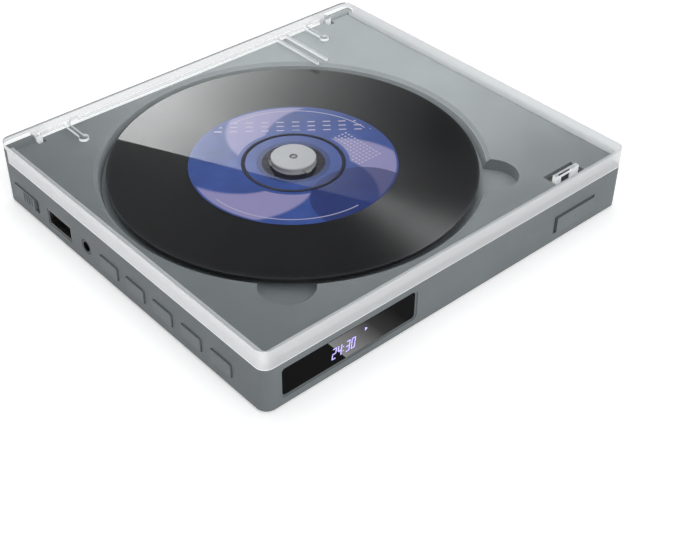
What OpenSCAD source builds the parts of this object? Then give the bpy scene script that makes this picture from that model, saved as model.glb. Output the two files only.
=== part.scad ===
// Wall mounted disc player with a clear hinged lid.
// The underside is the wall side and +Z is the disc side. The display side faces -Y,
// the socket side faces -X and the lid hinges along +Y.
// The origin is at the middle of the case, on the plane that the rubber feet rest on.

/* [Case] */
// Width of the case, left to right
body_w = 151; // [150:1:181]
// Depth of the case, front to rear
body_d = 136.5; // [136:0.5:165]
// Height of the grey side walls
body_h = 15; // [15:0.5:20]
// Height of the closed player without its feet
total_h = 22; // [22:0.5:28]
// Radius of the upright corners
corner_r = 3.5; // [2:0.5:6]
// Thickness of the side walls
wall = 2; // [1.6:0.1:2.4]
// Thickness of the bottom cover
cover_t = 1.8; // [1.4:0.1:2.4]
// Height that the rubber feet stand proud of the cover
foot_h = 0.8; // [0.5:0.1:2]

/* [Lid] */
// Thickness of the lid's top plate
lid_top = 1.8; // [1.5:0.1:2.2]
// Thickness of the lid's walls
lid_wall = 2.4; // [1.8:0.1:2.8]
// Gap from the deck up to the lid's top plate
lid_air = 1.6; // [1.2:0.1:2.5]

/* [Disc and well] */
// Disc diameter, a standard size
disc_d = 120; // [120]
// Disc thickness, a standard size
disc_t = 1.2; // [1.2]
// Diameter of the hole in the disc, a standard size
disc_hole = 15; // [15]
// Diameter of the well at the deck
well_d = 125.6; // [124.5:0.1:126]
// Disc centre to the left of the case's middle
disc_left = 7.4; // [6:0.1:9]
// Disc centre to the rear of the case's middle
disc_rear = 0.8; // [0:0.1:1]
// Deck down to the disc's upper face
disc_drop = 1; // [0.6:0.1:1.4]
// Depth of the well below the deck
well_deep = 4; // [3.8:0.1:4.2]
// Slope round the upper edge of the disc well
well_slope = 1; // [0.4:0.1:1.2]
// Width of each finger notch
notch_w = 17; // [14:0.5:19]
// Angle of the finger notches from straight ahead
notch_angle = 41.5; // [36:0.5:50]

/* [Side controls] */
// Width of a side button
button_w = 9.2; // [8:0.1:10]
// Height of a side button
button_h = 4.7; // [4:0.1:5]
// Distance from one side button to the next
button_pitch = 13.94; // [13:0.02:15]
// Number of side buttons
button_count = 5; // [5]
// Travel of a side button
button_travel = 0.5; // [0.3:0.05:0.6]
// Travel of the power slider
slider_travel = 2; // [1.5:0.1:2]
// Travel of the open button
open_travel = 1; // [0.6:0.1:1]

/* [Display] */
// Width of the display window
window_w = 49.6; // [40:0.2:50]
// Height of the display window
window_h = 9.4; // [8:0.1:9.6]

/* [Wall mounting] */
// Distance between the two keyholes
keyhole_pitch = 92; // [88:1:96]
// Diameter of the screw head hole
keyhole_d = 8; // [7:0.1:9]
// Width of the screw shank slot
keyhole_slot = 4.2; // [3.5:0.1:5]

/* [Drive] */
// Travel of the pickup along the disc's radius
pickup_travel = 33; // [30:0.5:33]
// Module of the feed gears
gear_module = 0.6; // [0.6]
// Teeth on the feed motor's pinion
pinion_teeth = 12; // [12]
// Teeth on the large feed gear
wheel_teeth = 30; // [30]
// Teeth on the small feed gear that drives the rack
small_teeth = 14; // [14]

/* [Fits] */
// Radial clearance of a running fit
run_gap = 0.05; // [0.02:0.01:0.1]
// Clearance between neighbouring pieces
gap = 0.3; // [0.2:0.05:0.35]

/* [Hidden] */
$fn = 64;
eps = 0.02;
// Levels
shell_z = foot_h;
cover_z = shell_z + cover_t;
seam_z = shell_z + body_h;
top_z = shell_z + total_h;
plate_z = top_z - lid_top;
deck_z = plate_z - lid_air;
deck_t = 1.6;
floor_z = deck_z - well_deep;
floor_t = 1.4;
roof_z = floor_z - floor_t;
disc_top = deck_z - disc_drop;
disc_z = disc_top - disc_t;
// Posts run up into the deck, and the well is cut out of them
post_top = deck_z - deck_t + 0.5;
// Plan
left = -body_w / 2;
right = body_w / 2;
front = -body_d / 2;
rear = body_d / 2;
deck_in = lid_wall + gap + 0.05;
deck_rear = rear - 3.25;
cx = -disc_left;
cy = disc_rear;
// Hinge
post_w = 11;
post_deep = 4.2;
knuckle_r = 1.95;
hinge_y = rear - post_deep / 2;
hinge_z = plate_z - 2.2;
pin_r = 0.75;
pin_long = 11;
ear_t = 2.2;
ear_x = right - post_w - gap - ear_t;
ear_r = 2.05;
tail_r = 1.1;
tail_reach = 2.6;
tail_lean = 16;
ear_sweep = tail_reach + tail_r + gap;
// Side controls
control_z = shell_z + 6.2;
button_y = rear - 61.8;
slider_w = 12.1;
slider_y = rear - 12.6;
usb_y = rear - 33.3;
usb_w = 13.2;
usb_h = 5.6;
jack_y = rear - 48.95;
jack_z = shell_z + 6.7;
jack_r = 1.75;
stand_out = 0.5;
// Boards
board_t = 1;
board_z = shell_z + 3.4;
board_x0 = left + wall + 1.6;
board_x1 = left + 45.5;
board_back = rear - 7.6;
board_front = front + 10.2;
// Display
window_x = left + 31.45;
window_z = shell_z + 7.8;
window_r = 1.1;
display_y = front + wall + 5.05;
display_half = 22.6;
// Charging inlet
charge_y = rear - 20;
charge_z = board_z + 1.65;
// Battery
battery_w = 54;
battery_d = 24;
battery_h = 6.6;
battery_x = cx + 22;
battery_y = front + 20.5;
// Wall mounting and feet
keyhole_y = rear - 19;
keyhole_run = 8;
foot_r = 5;
foot_sink = 0.8;
foot_points = [for (x = [left + 14, right - 14], y = [front + 13, rear - 13]) [x, y]];
// Open button and catch
open_w = 18.4;
open_h = 5.7;
open_x = right - 22.9;
open_z = shell_z + 6.15;
prong_w = 2.5;
prong_t = 1.5;
prong_x = 4.2;
prong_y = front + 5.1;
catch_z = shell_z + 10.4;
catch_t = 1.4;
barb = 1.15;
catch_gap = 0.3;
catch_lip = prong_y + prong_t + barb + catch_gap;
catch_post_x = 6.2;
catch_post_y = catch_lip + 3.1;
slide_back = catch_lip + 6;
catch_wall_y = slide_back + 5.5;
spring_wire = 0.22;
spring_r = 0.95;
// Drive
frame_z = shell_z + 6.8;
frame_t = 1.6;
rod_r = 1.1;
rod_z = frame_z + 0.3;
rod_side = 15;
lens_x = cx + 24.5;
slot_end = lens_x + pickup_travel - 1.6;
sled_low = shell_z + 4.8;
sled_top = shell_z + 10.8;
sled_half = 19;
// Lens and its holder sit low in the pickup, so focusing never lifts them into the slot
lens_low = sled_top - 3.8;
sled_in = 8;
sled_out = 16;
rack_y = cy + 22.4;
wheel_r = gear_module * wheel_teeth / 2;
small_r = gear_module * small_teeth / 2;
pinion_r = gear_module * pinion_teeth / 2;
feed_x = cx + 37.4;
feed_y = rack_y + small_r;
feed_angle = 50;
mesh_dist = wheel_r + pinion_r;
motor_x = feed_x + mesh_dist * cos(feed_angle);
motor_y = feed_y + mesh_dist * sin(feed_angle);
small_z = frame_z + frame_t + gap;
wheel_z = sled_top + 0.4;
wheel_t = 1.3;
grommets = [for (x = [cx - 12.6, cx + 72.4], y = [cy - 25.8, cy + 30.2]) [x, y]];
grommet_r = 3.5;
grommet_neck = 2.6;
damper_post_r = 1.9;
shaft_r = 0.75;
shaft_low = shell_z + 3.6;
slot_half = 5.5;
// Case screws at the four corners
screw_r = 1;
boss_r = 2.3;
boss_y = [front + wall + 2.8, rear - wall - 2.8];
case_points = [for (x = [left + 4.6, right - 4.6], y = boss_y) [x, y]];
board_points = [
    [board_x1 - 3.5, board_front + 6],
    [board_x1 - 3.5, cy + 30],
    [board_x0 + 5.5, rear - 23.1]
];

// Rounded rectangle centred on the case, set in by a distance
module outline(set_in = 0, r = corner_r, back = 0) {
    rr = max(r - set_in, 0.6);
    x = body_w / 2 - set_in - rr;
    y0 = front + set_in + rr;
    y1 = rear - set_in - rr - back;
    union() {
        translate([-x, y0 - rr]) square([2 * x, y1 - y0 + 2 * rr]);
        translate([-x - rr, y0]) square([2 * (x + rr), y1 - y0]);
        for (sx = [-x, x], sy = [y0, y1]) translate([sx, sy]) circle(rr);
    }
}

// Rounded block centred on the origin in X and Y, standing on z = 0
module soft_block(w, d, h, r) {
    linear_extrude(h) union() {
        square([w - 2 * r, d], center = true);
        square([w, d - 2 * r], center = true);
        for (sx = [-1, 1], sy = [-1, 1]) {
            translate([sx * (w / 2 - r), sy * (d / 2 - r)]) circle(r);
        }
    }
}

// Rounded block whose face looks out of the left side, from x towards the inside
module left_block(x, y, z, w, h, deep, r) {
    translate([x, y, z]) rotate([90, 0, 90]) soft_block(w, h, deep, r);
}

// Rounded block whose face looks out of the front, from y towards the inside
module front_block(x, y, z, w, h, deep, r) {
    translate([x, y + deep, z]) rotate([90, 0, 0]) soft_block(w, h, deep, r);
}

// Upright cylinder at a point
module peg(p, z, h, r) {
    translate([p[0], p[1], z]) cylinder(h = h, r = r);
}

// Cylinder along X
module x_rod(x, y, z, long, r) {
    translate([x, y, z]) rotate([0, 90, 0]) cylinder(h = long, r = r);
}

// Cylinder along Y
module y_rod(x, y, z, long, r) {
    translate([x, y + long, z]) rotate([90, 0, 0]) cylinder(h = long, r = r);
}

// Plan of the well's cut-out for the finger notches
module notch_plan(grow = 0) {
    r = notch_w / 2 + grow;
    for (side = [-1, 1]) {
        translate([cx, cy]) rotate(-90 + side * notch_angle) {
            translate([64, 0]) circle(r);
            translate([40, -r]) square([24, 2 * r]);
        }
    }
}

// Button centre along Y, counted from the rear
function side_y(i) = button_y - i * button_pitch;

// Involute flank point: base radius and roll angle
function flank(rb, a) = rb * [cos(a) + a * PI / 180 * sin(a), sin(a) - a * PI / 180 * cos(a)];
function turned(p, a) = [p[0] * cos(a) - p[1] * sin(a), p[0] * sin(a) + p[1] * cos(a)];
// Roll angle at which the involute reaches a radius
function roll_at(rb, r) = sqrt(max(pow(r / rb, 2) - 1, 0)) * 180 / PI;

// Plan of an involute gear with one tooth centred on +X
module gear_plan(teeth, slack = 0.07) {
    pitch = gear_module * teeth / 2;
    rb = pitch * cos(20);
    tip = pitch + 0.78 * gear_module;
    root = pitch - 1.2 * gear_module;
    low = max(rb, root);
    at_pitch = roll_at(rb, pitch);
    lead = at_pitch - atan(at_pitch * PI / 180);
    half = 90 / teeth - slack / pitch * 90 / PI;
    rolls = [for (i = [0:4]) roll_at(rb, low) + (roll_at(rb, tip) - roll_at(rb, low)) * i / 4];
    up = [for (a = rolls) turned(flank(rb, a), -half - lead)];
    down = [for (i = [4:-1:0]) [up[i][0], -up[i][1]]];
    union() {
        circle(root);
        for (k = [0:teeth - 1]) {
            rotate(k * 360 / teeth)
                polygon(concat([[root * 0.8, up[0][1]]], up, down, [[root * 0.8, -up[0][1]]]));
        }
    }
}

module top_shell_walls() {
    translate([0, 0, shell_z]) linear_extrude(seam_z - shell_z) outline();
    intersection() {
        translate([0, 0, shell_z]) linear_extrude(deck_z - shell_z) outline(deck_in, corner_r + 1);
        translate([left, front, 0]) cube([body_w, deck_rear - front, top_z]);
    }
    intersection() {
        translate([0, 0, shell_z]) linear_extrude(total_h) outline();
        for (side = [-1, 1]) hinge_post(side);
    }
}

// Post at a rear corner that holds a hinge pin
module hinge_post(side) {
    x = side > 0 ? right - post_w : left;
    translate([x, rear - post_deep, seam_z - 1]) cube([post_w, post_deep, hinge_z - seam_z + 1]);
    x_rod(x, hinge_y, hinge_z, post_w, knuckle_r);
}

// Space inside the top shell, below the deck and around the well
module top_shell_space() {
    translate([0, 0, shell_z - 1]) linear_extrude(roof_z - shell_z + 1) outline(wall);
    difference() {
        intersection() {
            translate([0, 0, roof_z - eps])
                linear_extrude(deck_z - deck_t - roof_z + eps) outline(deck_in + 1.5);
            translate([left, front, 0]) cube([body_w, deck_rear - 1.5 - front, top_z]);
        }
        translate([cx, cy, roof_z - 1]) cylinder(h = 10, r = well_d / 2 + 1.2);
        translate([0, 0, roof_z - 1]) linear_extrude(10) notch_plan(1.2);
        for (side = [-1, 1]) {
            translate([side * (ear_x + ear_t / 2) - 5, rear - 10, roof_z - 1]) cube([10, 10, 10]);
        }
    }
}

module top_shell_cuts() {
    // Disc well, finger notches, hub hole and pickup slot
    translate([cx, cy, floor_z]) cylinder(h = well_deep + eps, r1 = well_d / 2 - 1.2, r2 = well_d / 2);
    translate([cx, cy, deck_z - well_slope])
        cylinder(h = well_slope + 0.1, r1 = well_d / 2, r2 = well_d / 2 + well_slope + 0.1);
    translate([0, 0, floor_z]) linear_extrude(well_deep + 1) notch_plan();
    peg([cx, cy], roof_z - 1, 4, 11);
    translate([cx, cy - slot_half, roof_z - 1]) cube([slot_end - cx, 2 * slot_half, 4]);
    peg([slot_end, cy], roof_z - 1, 4, slot_half);
    // Hinge pin bores and the pockets that the lid's ears turn in
    for (side = [-1, 1]) {
        x_rod(side > 0 ? right - post_w - 1 : left + 2.5, hinge_y, hinge_z, post_w - 1.5, pin_r);
        x_rod(side > 0 ? ear_x - gap : -ear_x - ear_t - gap, hinge_y, hinge_z, ear_t + 2 * gap, ear_sweep);
    }
    // Slot for the lid's catch prongs
    translate([open_x - prong_x - prong_w, prong_y - 1.3, catch_z - 1])
        cube([2 * (prong_x + prong_w), prong_t + barb + 2.9, 20]);
    // Side buttons
    for (i = [0:button_count - 1]) {
        left_block(left - 1, side_y(i), control_z, button_w + 2 * gap, button_h + 2 * gap, wall + 2, 0.9);
    }
    // Power slider recess and its slot
    slot_y = slider_y - slider_travel / 2;
    left_block(left - 1, slot_y, control_z, slider_w + slider_travel + 0.6, 5.2, 2, 0.6);
    left_block(left - 1, slot_y, control_z, 4 + slider_travel + 0.6, 2.8, wall + 2, 0.5);
    // Socket openings
    left_block(left - 1, usb_y, board_z + usb_h / 2, usb_w + 0.5, usb_h + 0.5, wall + 2, 0.4);
    x_rod(left - 1, jack_y, jack_z, wall + 2, jack_r + 0.85);
    translate([right + 1, 0, 0]) mirror([1, 0, 0])
        left_block(0, charge_y, charge_z, 9.4, 3.6, wall + 2, 1.7);
    // Display window and open button
    front_block(window_x, front - 1, window_z, window_w + 0.4, window_h + 0.4, wall + 2, window_r);
    front_block(window_x, front - 1, window_z, window_w + 1.8, window_h + 1.4, 1.3, window_r + 0.5);
    translate([open_x - open_w / 2 - 0.9, front - 1, open_z - open_h / 2 - 0.2])
        cube([open_w + 1.1, wall + 2, open_h + 0.8]);
}

module top_shell_bosses() {
    intersection() {
        for (p = case_points) difference() {
            peg(p, cover_z, seam_z - 1 - cover_z, boss_r);
            peg(p, cover_z - 1, 9, screw_r - 0.15);
        }
        translate([0, 0, shell_z]) linear_extrude(total_h) outline(0.5);
    }
    for (p = board_points) difference() {
        peg(p, board_z, post_top - board_z, 2.1);
        peg(p, board_z - 1, 7, screw_r - 0.15);
    }
    for (p = grommets) difference() {
        union() {
            peg(p, frame_z - 0.6, post_top - frame_z + 0.6, damper_post_r);
            peg(p, frame_z + frame_t + 0.75, post_top - frame_z - frame_t - 0.75, 2.9);
        }
        peg(p, frame_z - 1.6, 5, screw_r - 0.15);
    }
    for (side = [-1, 1]) difference() {
        peg([open_x + side * catch_post_x, catch_post_y], catch_z - 0.1, post_top - catch_z + 0.1, 1.6);
        peg([open_x + side * catch_post_x, catch_post_y], catch_z - 1, 4.5, 0.65);
    }
    // Slotted ribs that hold the display board
    for (side = [-1, 1]) difference() {
        translate([window_x + side * (display_half + 0.2) - 1.2, display_y - 1.6, window_z - 3.5])
            cube([2.4, 4.2, post_top - window_z + 3.5]);
        translate([window_x - display_half - 0.1, display_y - 0.05, 0])
            cube([2 * display_half + 0.2, board_t + 0.1, window_z + 5.1]);
    }
    // Stop wall behind the catch spring
    translate([open_x - 3, catch_wall_y, catch_z - 1.6]) cube([6, 1.6, post_top - catch_z + 1.6]);
    // Small pad on the wall of the well
    intersection() {
        translate([cx, cy]) rotate(-14.5) translate([well_d / 2 - 1.6, -0.8, floor_z])
            cube([1.4, 1.6, 3.2]);
        translate([cx, cy, floor_z - 1]) cylinder(h = 8, r = well_d / 2 + 0.5);
    }
}

module top_shell() {
    color([0.50, 0.53, 0.54]) difference() {
        union() {
            difference() {
                top_shell_walls();
                top_shell_space();
            }
            top_shell_bosses();
        }
        top_shell_cuts();
    }
}

// Plate that closes the case from the wall side
module bottom_cover() {
    color([0.44, 0.47, 0.48]) difference() {
        union() {
            translate([0, 0, shell_z]) linear_extrude(cover_t) outline(wall + 0.2, corner_r + 0.2);
            // Ribs at both ends of the battery and pads under the charging board
            for (x = [battery_x - battery_w / 2 - 1.5, battery_x + battery_w / 2 + 0.3]) {
                translate([x, battery_y - 9, cover_z - eps]) cube([1.2, 7, 3]);
                translate([x, battery_y + 5, cover_z - eps]) cube([1.2, 7, 3]);
            }
            for (y = [charge_y - 6, charge_y + 4]) {
                translate([right - wall - 12, y, cover_z - eps])
                    cube([10, 2, board_z - board_t - cover_z + eps]);
            }
        }
        for (p = case_points) {
            peg(p, shell_z - 1, cover_t + 2, screw_r + 0.2);
            peg(p, shell_z - 1, 1.9, 2.1);
        }
        for (x = [-keyhole_pitch / 2, keyhole_pitch / 2]) {
            peg([x, keyhole_y], shell_z - 1, cover_t + 2, keyhole_d / 2);
            translate([x - keyhole_slot / 2, keyhole_y, shell_z - 1])
                cube([keyhole_slot, keyhole_run, cover_t + 2]);
            peg([x, keyhole_y + keyhole_run], shell_z - 1, cover_t + 2, keyhole_slot / 2);
        }
        for (p = foot_points) peg(p, shell_z - 1, 1 + foot_sink, foot_r + 0.2);
    }
}

module rubber_feet() {
    color([0.12, 0.12, 0.12]) for (p = foot_points) {
        peg(p, 0.3, shell_z + foot_sink - 0.3, foot_r);
        translate([p[0], p[1], 0]) cylinder(h = 0.3, r1 = foot_r - 0.3, r2 = foot_r);
    }
}

// Screw with a round head below and its shank going up
module screw(p, z, head_r, head_h, shank, r) {
    difference() {
        peg(p, z, head_h, head_r);
        translate([p[0], p[1], z - 0.5]) cylinder(h = 0.5 + head_h * 0.5, r = head_r * 0.5, $fn = 6);
    }
    peg(p, z + head_h - 0.1, shank + 0.1, r);
}

module case_screws() {
    color([0.25, 0.25, 0.26]) for (p = case_points) screw(p, shell_z + 0.05, 1.9, 0.85, 7, screw_r - 0.15);
}

// Side profile of a lid ear: eye, upright and tail, drawn in Y and Z
module ear_plan() {
    circle(ear_r);
    translate([-ear_r, 0]) square([2 * ear_r, plate_z - hinge_z + 0.5]);
    rotate(-tail_lean) {
        translate([-tail_r, -tail_reach]) square([2 * tail_r, tail_reach]);
        translate([0, -tail_reach]) circle(tail_r);
    }
}

module lid_ribs() {
    rib_h = 1;
    z = plate_z - rib_h;
    for (side = [-1, 1]) {
        translate([side * 52.3 - 0.8, rear - 14, z]) cube([1.6, 14 - lid_wall + eps, rib_h + eps]);
        peg([side * 52.3, rear - 14], z, rib_h + eps, 1.7);
    }
    for (x = [38.2, 42.4]) {
        translate([x - 0.5, rear - 26.6, z]) cube([1, 26.6 - lid_wall + eps, rib_h + eps]);
        peg([x, rear - 26.6], z, rib_h + eps, 0.5);
    }
}

// Catch prongs that reach down into the case behind the front wall
module lid_prongs() {
    low = catch_z - 1.5;
    for (side = [-1, 1]) {
        translate([open_x + side * prong_x - prong_w / 2, prong_y, low]) {
            cube([prong_w, prong_t, plate_z - low + eps]);
            translate([0, prong_t - eps, 0]) cube([prong_w, barb, 1.2]);
        }
    }
    translate([open_x - prong_x - prong_w / 2, prong_y, plate_z - 1])
        cube([2 * prong_x + prong_w, prong_t, 1 + eps]);
}

module lid() {
    bottom = seam_z + 0.25;
    wall_end = rear - post_deep - gap;
    color([0.90, 0.92, 0.93, 0.35]) difference() {
        union() {
            translate([0, 0, plate_z]) linear_extrude(lid_top) outline();
            difference() {
                translate([0, 0, bottom]) linear_extrude(plate_z - bottom + eps) outline();
                translate([0, 0, bottom - 1])
                    linear_extrude(plate_z - bottom + 1) outline(lid_wall, corner_r, -9);
                translate([left - 1, wall_end, bottom - 1])
                    cube([body_w + 2, body_d, plate_z - bottom + 1]);
            }
            // Low rear lip between the ears
            translate([-ear_x, rear - lid_wall, hinge_z + 0.85])
                cube([2 * ear_x, lid_wall, plate_z - hinge_z - 0.85 + eps]);
            for (side = [-1, 1]) {
                translate([side > 0 ? ear_x : -ear_x - ear_t, hinge_y, hinge_z])
                    rotate([90, 0, 90]) linear_extrude(ear_t) ear_plan();
            }
            lid_ribs();
            lid_prongs();
        }
        for (side = [-1, 1]) x_rod(side * (ear_x + ear_t / 2) - 3, hinge_y, hinge_z, 6, pin_r + run_gap);
        // Notches in the rear lip beside the ribs
        for (x = [-48.6, 55.4]) translate([x - 1.5, rear - lid_wall - 1, plate_z - 2]) cube([3, 2.2, 2]);
    }
}

module hinge_pins() {
    color([0.75, 0.75, 0.76]) for (side = [-1, 1]) {
        x_rod(side > 0 ? ear_x - 0.2 : -ear_x + 0.2 - pin_long, hinge_y, hinge_z, pin_long, pin_r);
    }
}

module disc() {
    color([0.10, 0.10, 0.11]) difference() {
        peg([cx, cy], disc_z, disc_t, disc_d / 2);
        peg([cx, cy], disc_z - 1, disc_t + 2, disc_hole / 2);
    }
}

// Turntable, neck and cap on the motor's shaft
module spindle_hub() {
    color([0.62, 0.63, 0.64]) difference() {
        union() {
            peg([cx, cy], disc_z - 1.3, 1.3, 10.2);
            peg([cx, cy], disc_z - 3.6, 3.6, 4);
            peg([cx, cy], disc_z - eps, disc_t + 0.4, disc_hole / 2 - 0.1);
            peg([cx, cy], disc_top + 0.3, 1.3, 6.4);
            translate([cx, cy, disc_top + 1.2]) cylinder(h = 0.3, r1 = 7, r2 = 7.4);
            peg([cx, cy], disc_top + 1.5, 0.5, 7.4);
            translate([cx, cy, disc_top + 2]) cylinder(h = 0.2, r1 = 7.4, r2 = 7.15);
        }
        peg([cx, cy], 0, disc_top - 1, shaft_r);
        peg([cx, cy], disc_top + 1.9, 2, 0.7);
        for (k = [0:2]) translate([cx, cy, disc_z + 0.5]) rotate(30 + k * 120) {
            translate([4.1, -1.3, 0]) cube([5, 2.6, disc_t + 0.6]);
        }
    }
}

module clamp_jaws() {
    color([0.8, 0.8, 0.8]) for (k = [0:2]) translate([cx, cy, disc_top + 0.05]) rotate(30 + k * 120) {
        translate([4.15, -1.1, -0.6]) cube([3, 2.2, 0.6]);
        translate([4.15, -1.1, 0]) cube([3.75, 2.2, 0.5]);
    }
}

module open_button() {
    y0 = front - 0.6;
    color([0.50, 0.53, 0.54]) difference() {
        union() {
            front_block(open_x, y0, open_z, open_w, open_h, 3.2, 0.7);
            // Flange behind the wall
            front_block(open_x, front + wall + 0.1, open_z, open_w + 3, open_h + 2.2, 1, 0.7);
            // Arm up to the catch
            translate([open_x - 2, front + wall + 0.5, open_z]) cube([4, 1.6, catch_z - open_z]);
        }
        y_rod(open_x + 0.1, y0 - 1, open_z - 0.2, 1.3, 0.4);
    }
}

// Sliding catch that the open button pushes to the rear
module catch_slide() {
    x = prong_x + prong_w;
    y0 = front + wall + 0.6;
    color([0.85, 0.85, 0.82]) difference() {
        translate([open_x - x - 2.5, y0, catch_z]) cube([2 * x + 5, slide_back - y0, catch_t]);
        translate([open_x - x, prong_y - 1.7, catch_z - 1])
            cube([2 * x, catch_lip - prong_y + 1.7, catch_t + 2]);
        for (side = [-1, 1]) translate([open_x + side * catch_post_x, catch_post_y, catch_z - 1]) {
            cylinder(h = 4, r = 1.6 + run_gap);
            translate([-1.6 - run_gap, -open_travel, 0]) cube([3.2 + 2 * run_gap, open_travel, 4]);
            translate([0, -open_travel, 0]) cylinder(h = 4, r = 1.6 + run_gap);
        }
    }
    // Spring seat
    seat_r = spring_r - spring_wire - 0.1;
    color([0.85, 0.85, 0.82]) y_rod(open_x, slide_back - 0.1, catch_z + catch_t / 2, 1.4, seat_r);
}

module catch_screws() {
    color([0.6, 0.6, 0.6]) for (side = [-1, 1]) {
        screw([open_x + side * catch_post_x, catch_post_y], catch_z - 0.9, 2.4, 0.75, 3, 0.65);
    }
}

// Compression spring along Y, from its seat on the slide to the stop wall
module catch_spring() {
    y0 = slide_back + 0.05;
    long = catch_wall_y - y0 - 2 * spring_wire - 0.1;
    turns = 5;
    steps = 16;
    sides = 8;
    n = turns * steps;
    points = [for (i = [0:n], j = [0:sides - 1]) [
        (spring_r + spring_wire * cos(360 * j / sides)) * cos(360 * i / steps),
        (spring_r + spring_wire * cos(360 * j / sides)) * sin(360 * i / steps),
        spring_wire * sin(360 * j / sides) + long * i / n
    ]];
    near = [[for (j = [0:sides - 1]) sides - 1 - j]];
    far = [[for (j = [0:sides - 1]) n * sides + j]];
    skin_a = [for (i = [0:n - 1], j = [0:sides - 1])
        [i * sides + j, i * sides + (j + 1) % sides, (i + 1) * sides + j]];
    skin_b = [for (i = [0:n - 1], j = [0:sides - 1])
        [i * sides + (j + 1) % sides, (i + 1) * sides + (j + 1) % sides, (i + 1) * sides + j]];
    color([0.7, 0.7, 0.72]) translate([open_x, y0 + spring_wire, catch_z + catch_t / 2])
        rotate([-90, 0, 0]) polyhedron(points, concat(near, far, skin_a, skin_b), convexity = 10);
}

// Small switch under the deck whose plunger rests against the lid's right-hand prong
module lid_switch() {
    prong_side = open_x + prong_x + prong_w / 2;
    z = catch_z + catch_t + 0.5;
    color([0.15, 0.15, 0.15]) union() {
        translate([prong_side + 1.8, prong_y - 0.6, z]) cube([4.5, 5, deck_z - deck_t - z]);
        x_rod(prong_side + 0.1, prong_y + prong_t / 2, z + 2, 2, 0.6);
    }
}

module power_slider() {
    x = left - 0.4;
    color([0.50, 0.53, 0.54]) {
        left_block(x, slider_y, control_z, slider_w, 4.6, 1.3, 0.5);
        for (k = [0:3]) {
            translate([x - 0.25, slider_y - 4.6 + k * 1.5, control_z - 1.5]) cube([0.4, 0.6, 3]);
        }
        left_block(x + 1, slider_y, control_z, 3.8, 2.2, wall + 1.2, 0.4);
    }
}

module slide_switch() {
    y = slider_y - slider_travel / 2;
    color([0.72, 0.72, 0.70]) difference() {
        translate([left + wall + 1.4, y - 5.6, board_z]) cube([4.4, 11.2, 4.6]);
        translate([left + wall, y - 3.4, control_z - 1.5]) cube([3.6, 6.8, 3]);
    }
}

module side_button(i) {
    x = left - stand_out;
    y = side_y(i);
    color([0.50, 0.53, 0.54]) {
        left_block(x, y, control_z, button_w, button_h, wall + stand_out + 0.2, 0.7);
        left_block(left + wall + 0.1, y, control_z, button_w + 1.8, button_h + 1.2, 0.7, 0.7);
        x_rod(left + wall + 0.7, y, control_z, 0.45, 1);
    }
}

module button_switches() {
    color([0.2, 0.2, 0.2]) for (i = [0:button_count - 1]) {
        x = left + wall + 1.2 + button_travel;
        translate([x + 0.6, side_y(i) - 2.9, board_z]) cube([3.5, 5.8, 4.4]);
        x_rod(x, side_y(i), control_z, 1, 0.9);
    }
}

module usb_shell() {
    x = left + 0.25;
    color([0.78, 0.78, 0.79]) difference() {
        left_block(x, usb_y, board_z + usb_h / 2, usb_w, usb_h, 14, 0.5);
        left_block(x - 1, usb_y, board_z + usb_h / 2, usb_w - 0.6, usb_h - 0.6, 14.6, 0.3);
    }
}

module usb_tongue() {
    x = left + 1.4;
    color([0.12, 0.12, 0.13]) union() {
        translate([x, usb_y - 5.6, board_z + 2.9]) cube([11, 11.2, 1.9]);
        left_block(x + 9.2, usb_y, board_z + usb_h / 2, usb_w - 0.7, usb_h - 0.7, 2.8, 0.25);
    }
}

module headphone_jack() {
    color([0.10, 0.10, 0.10]) difference() {
        union() {
            x_rod(left + 0.15, jack_y, jack_z, wall + 1, jack_r + 0.65);
            translate([left + wall + 0.4, jack_y - 3.3, board_z]) cube([11.6, 6.6, jack_z - board_z + 3.2]);
        }
        x_rod(left - 1, jack_y, jack_z, 13.6, jack_r);
    }
}

module display_window() {
    color([0.05, 0.05, 0.06]) {
        front_block(window_x, front + 0.3, window_z, window_w, window_h, wall, window_r - 0.2);
        front_block(window_x, front + wall + 0.1, window_z, window_w + 1, window_h + 0.8, 0.8, 0.8);
    }
}

// Block of light wells for four digits
module display_module() {
    y = front + wall + 1;
    color([0.15, 0.15, 0.16]) difference() {
        translate([window_x - 20, y, window_z - 4]) cube([36, 4, 8]);
        for (k = [0:3]) {
            translate([window_x - 12 + k * 6 + (k > 1 ? 1.6 : 0), y - 1, window_z - 2.9])
                cube([4, 2.2, 5.8]);
        }
    }
}

module display_board() {
    color([0.10, 0.30, 0.18]) translate([window_x - display_half, display_y, window_z - 4.8])
        cube([2 * display_half, board_t, 9.8]);
}

module remote_receiver() {
    color([0.08, 0.08, 0.08]) union() {
        translate([window_x + 17.4, front + wall + 2.2, window_z - 2.5]) cube([4, 2.8, 5]);
        y_rod(window_x + 19.4, front + wall + 1.3, window_z, 1, 1.5);
    }
}

module main_board() {
    color([0.10, 0.32, 0.20]) difference() {
        union() {
            translate([board_x0, board_front, board_z - board_t])
                cube([board_x1 - board_x0, rear - 26 - board_front, board_t]);
            translate([board_x0, board_front, board_z - board_t])
                cube([13, board_back - board_front, board_t]);
        }
        for (p = board_points) peg(p, board_z - 2, 3, screw_r + 0.2);
    }
}

module board_screws() {
    color([0.7, 0.7, 0.7]) for (p = board_points) {
        screw(p, board_z - board_t - 0.5, 1.9, 0.45, 5, screw_r - 0.15);
    }
}

// Control chips and cable sockets on the main board
module control_chips() {
    color([0.12, 0.12, 0.13]) {
        translate([board_x0 + 24, cy + 4, board_z]) cube([12, 12, 1.4]);
        translate([board_x0 + 26, cy - 22, board_z]) cube([7, 9, 1.2]);
        translate([board_x1 - 5, cy - 8, board_z]) cube([4, 14, 2.2]);
        translate([board_x1 - 7, board_front + 12, board_z]) cube([5, 6, 4]);
        for (k = [0:2]) peg([board_x0 + 20, cy - 36 - k * 7], board_z, 5, 2);
    }
}

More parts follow.
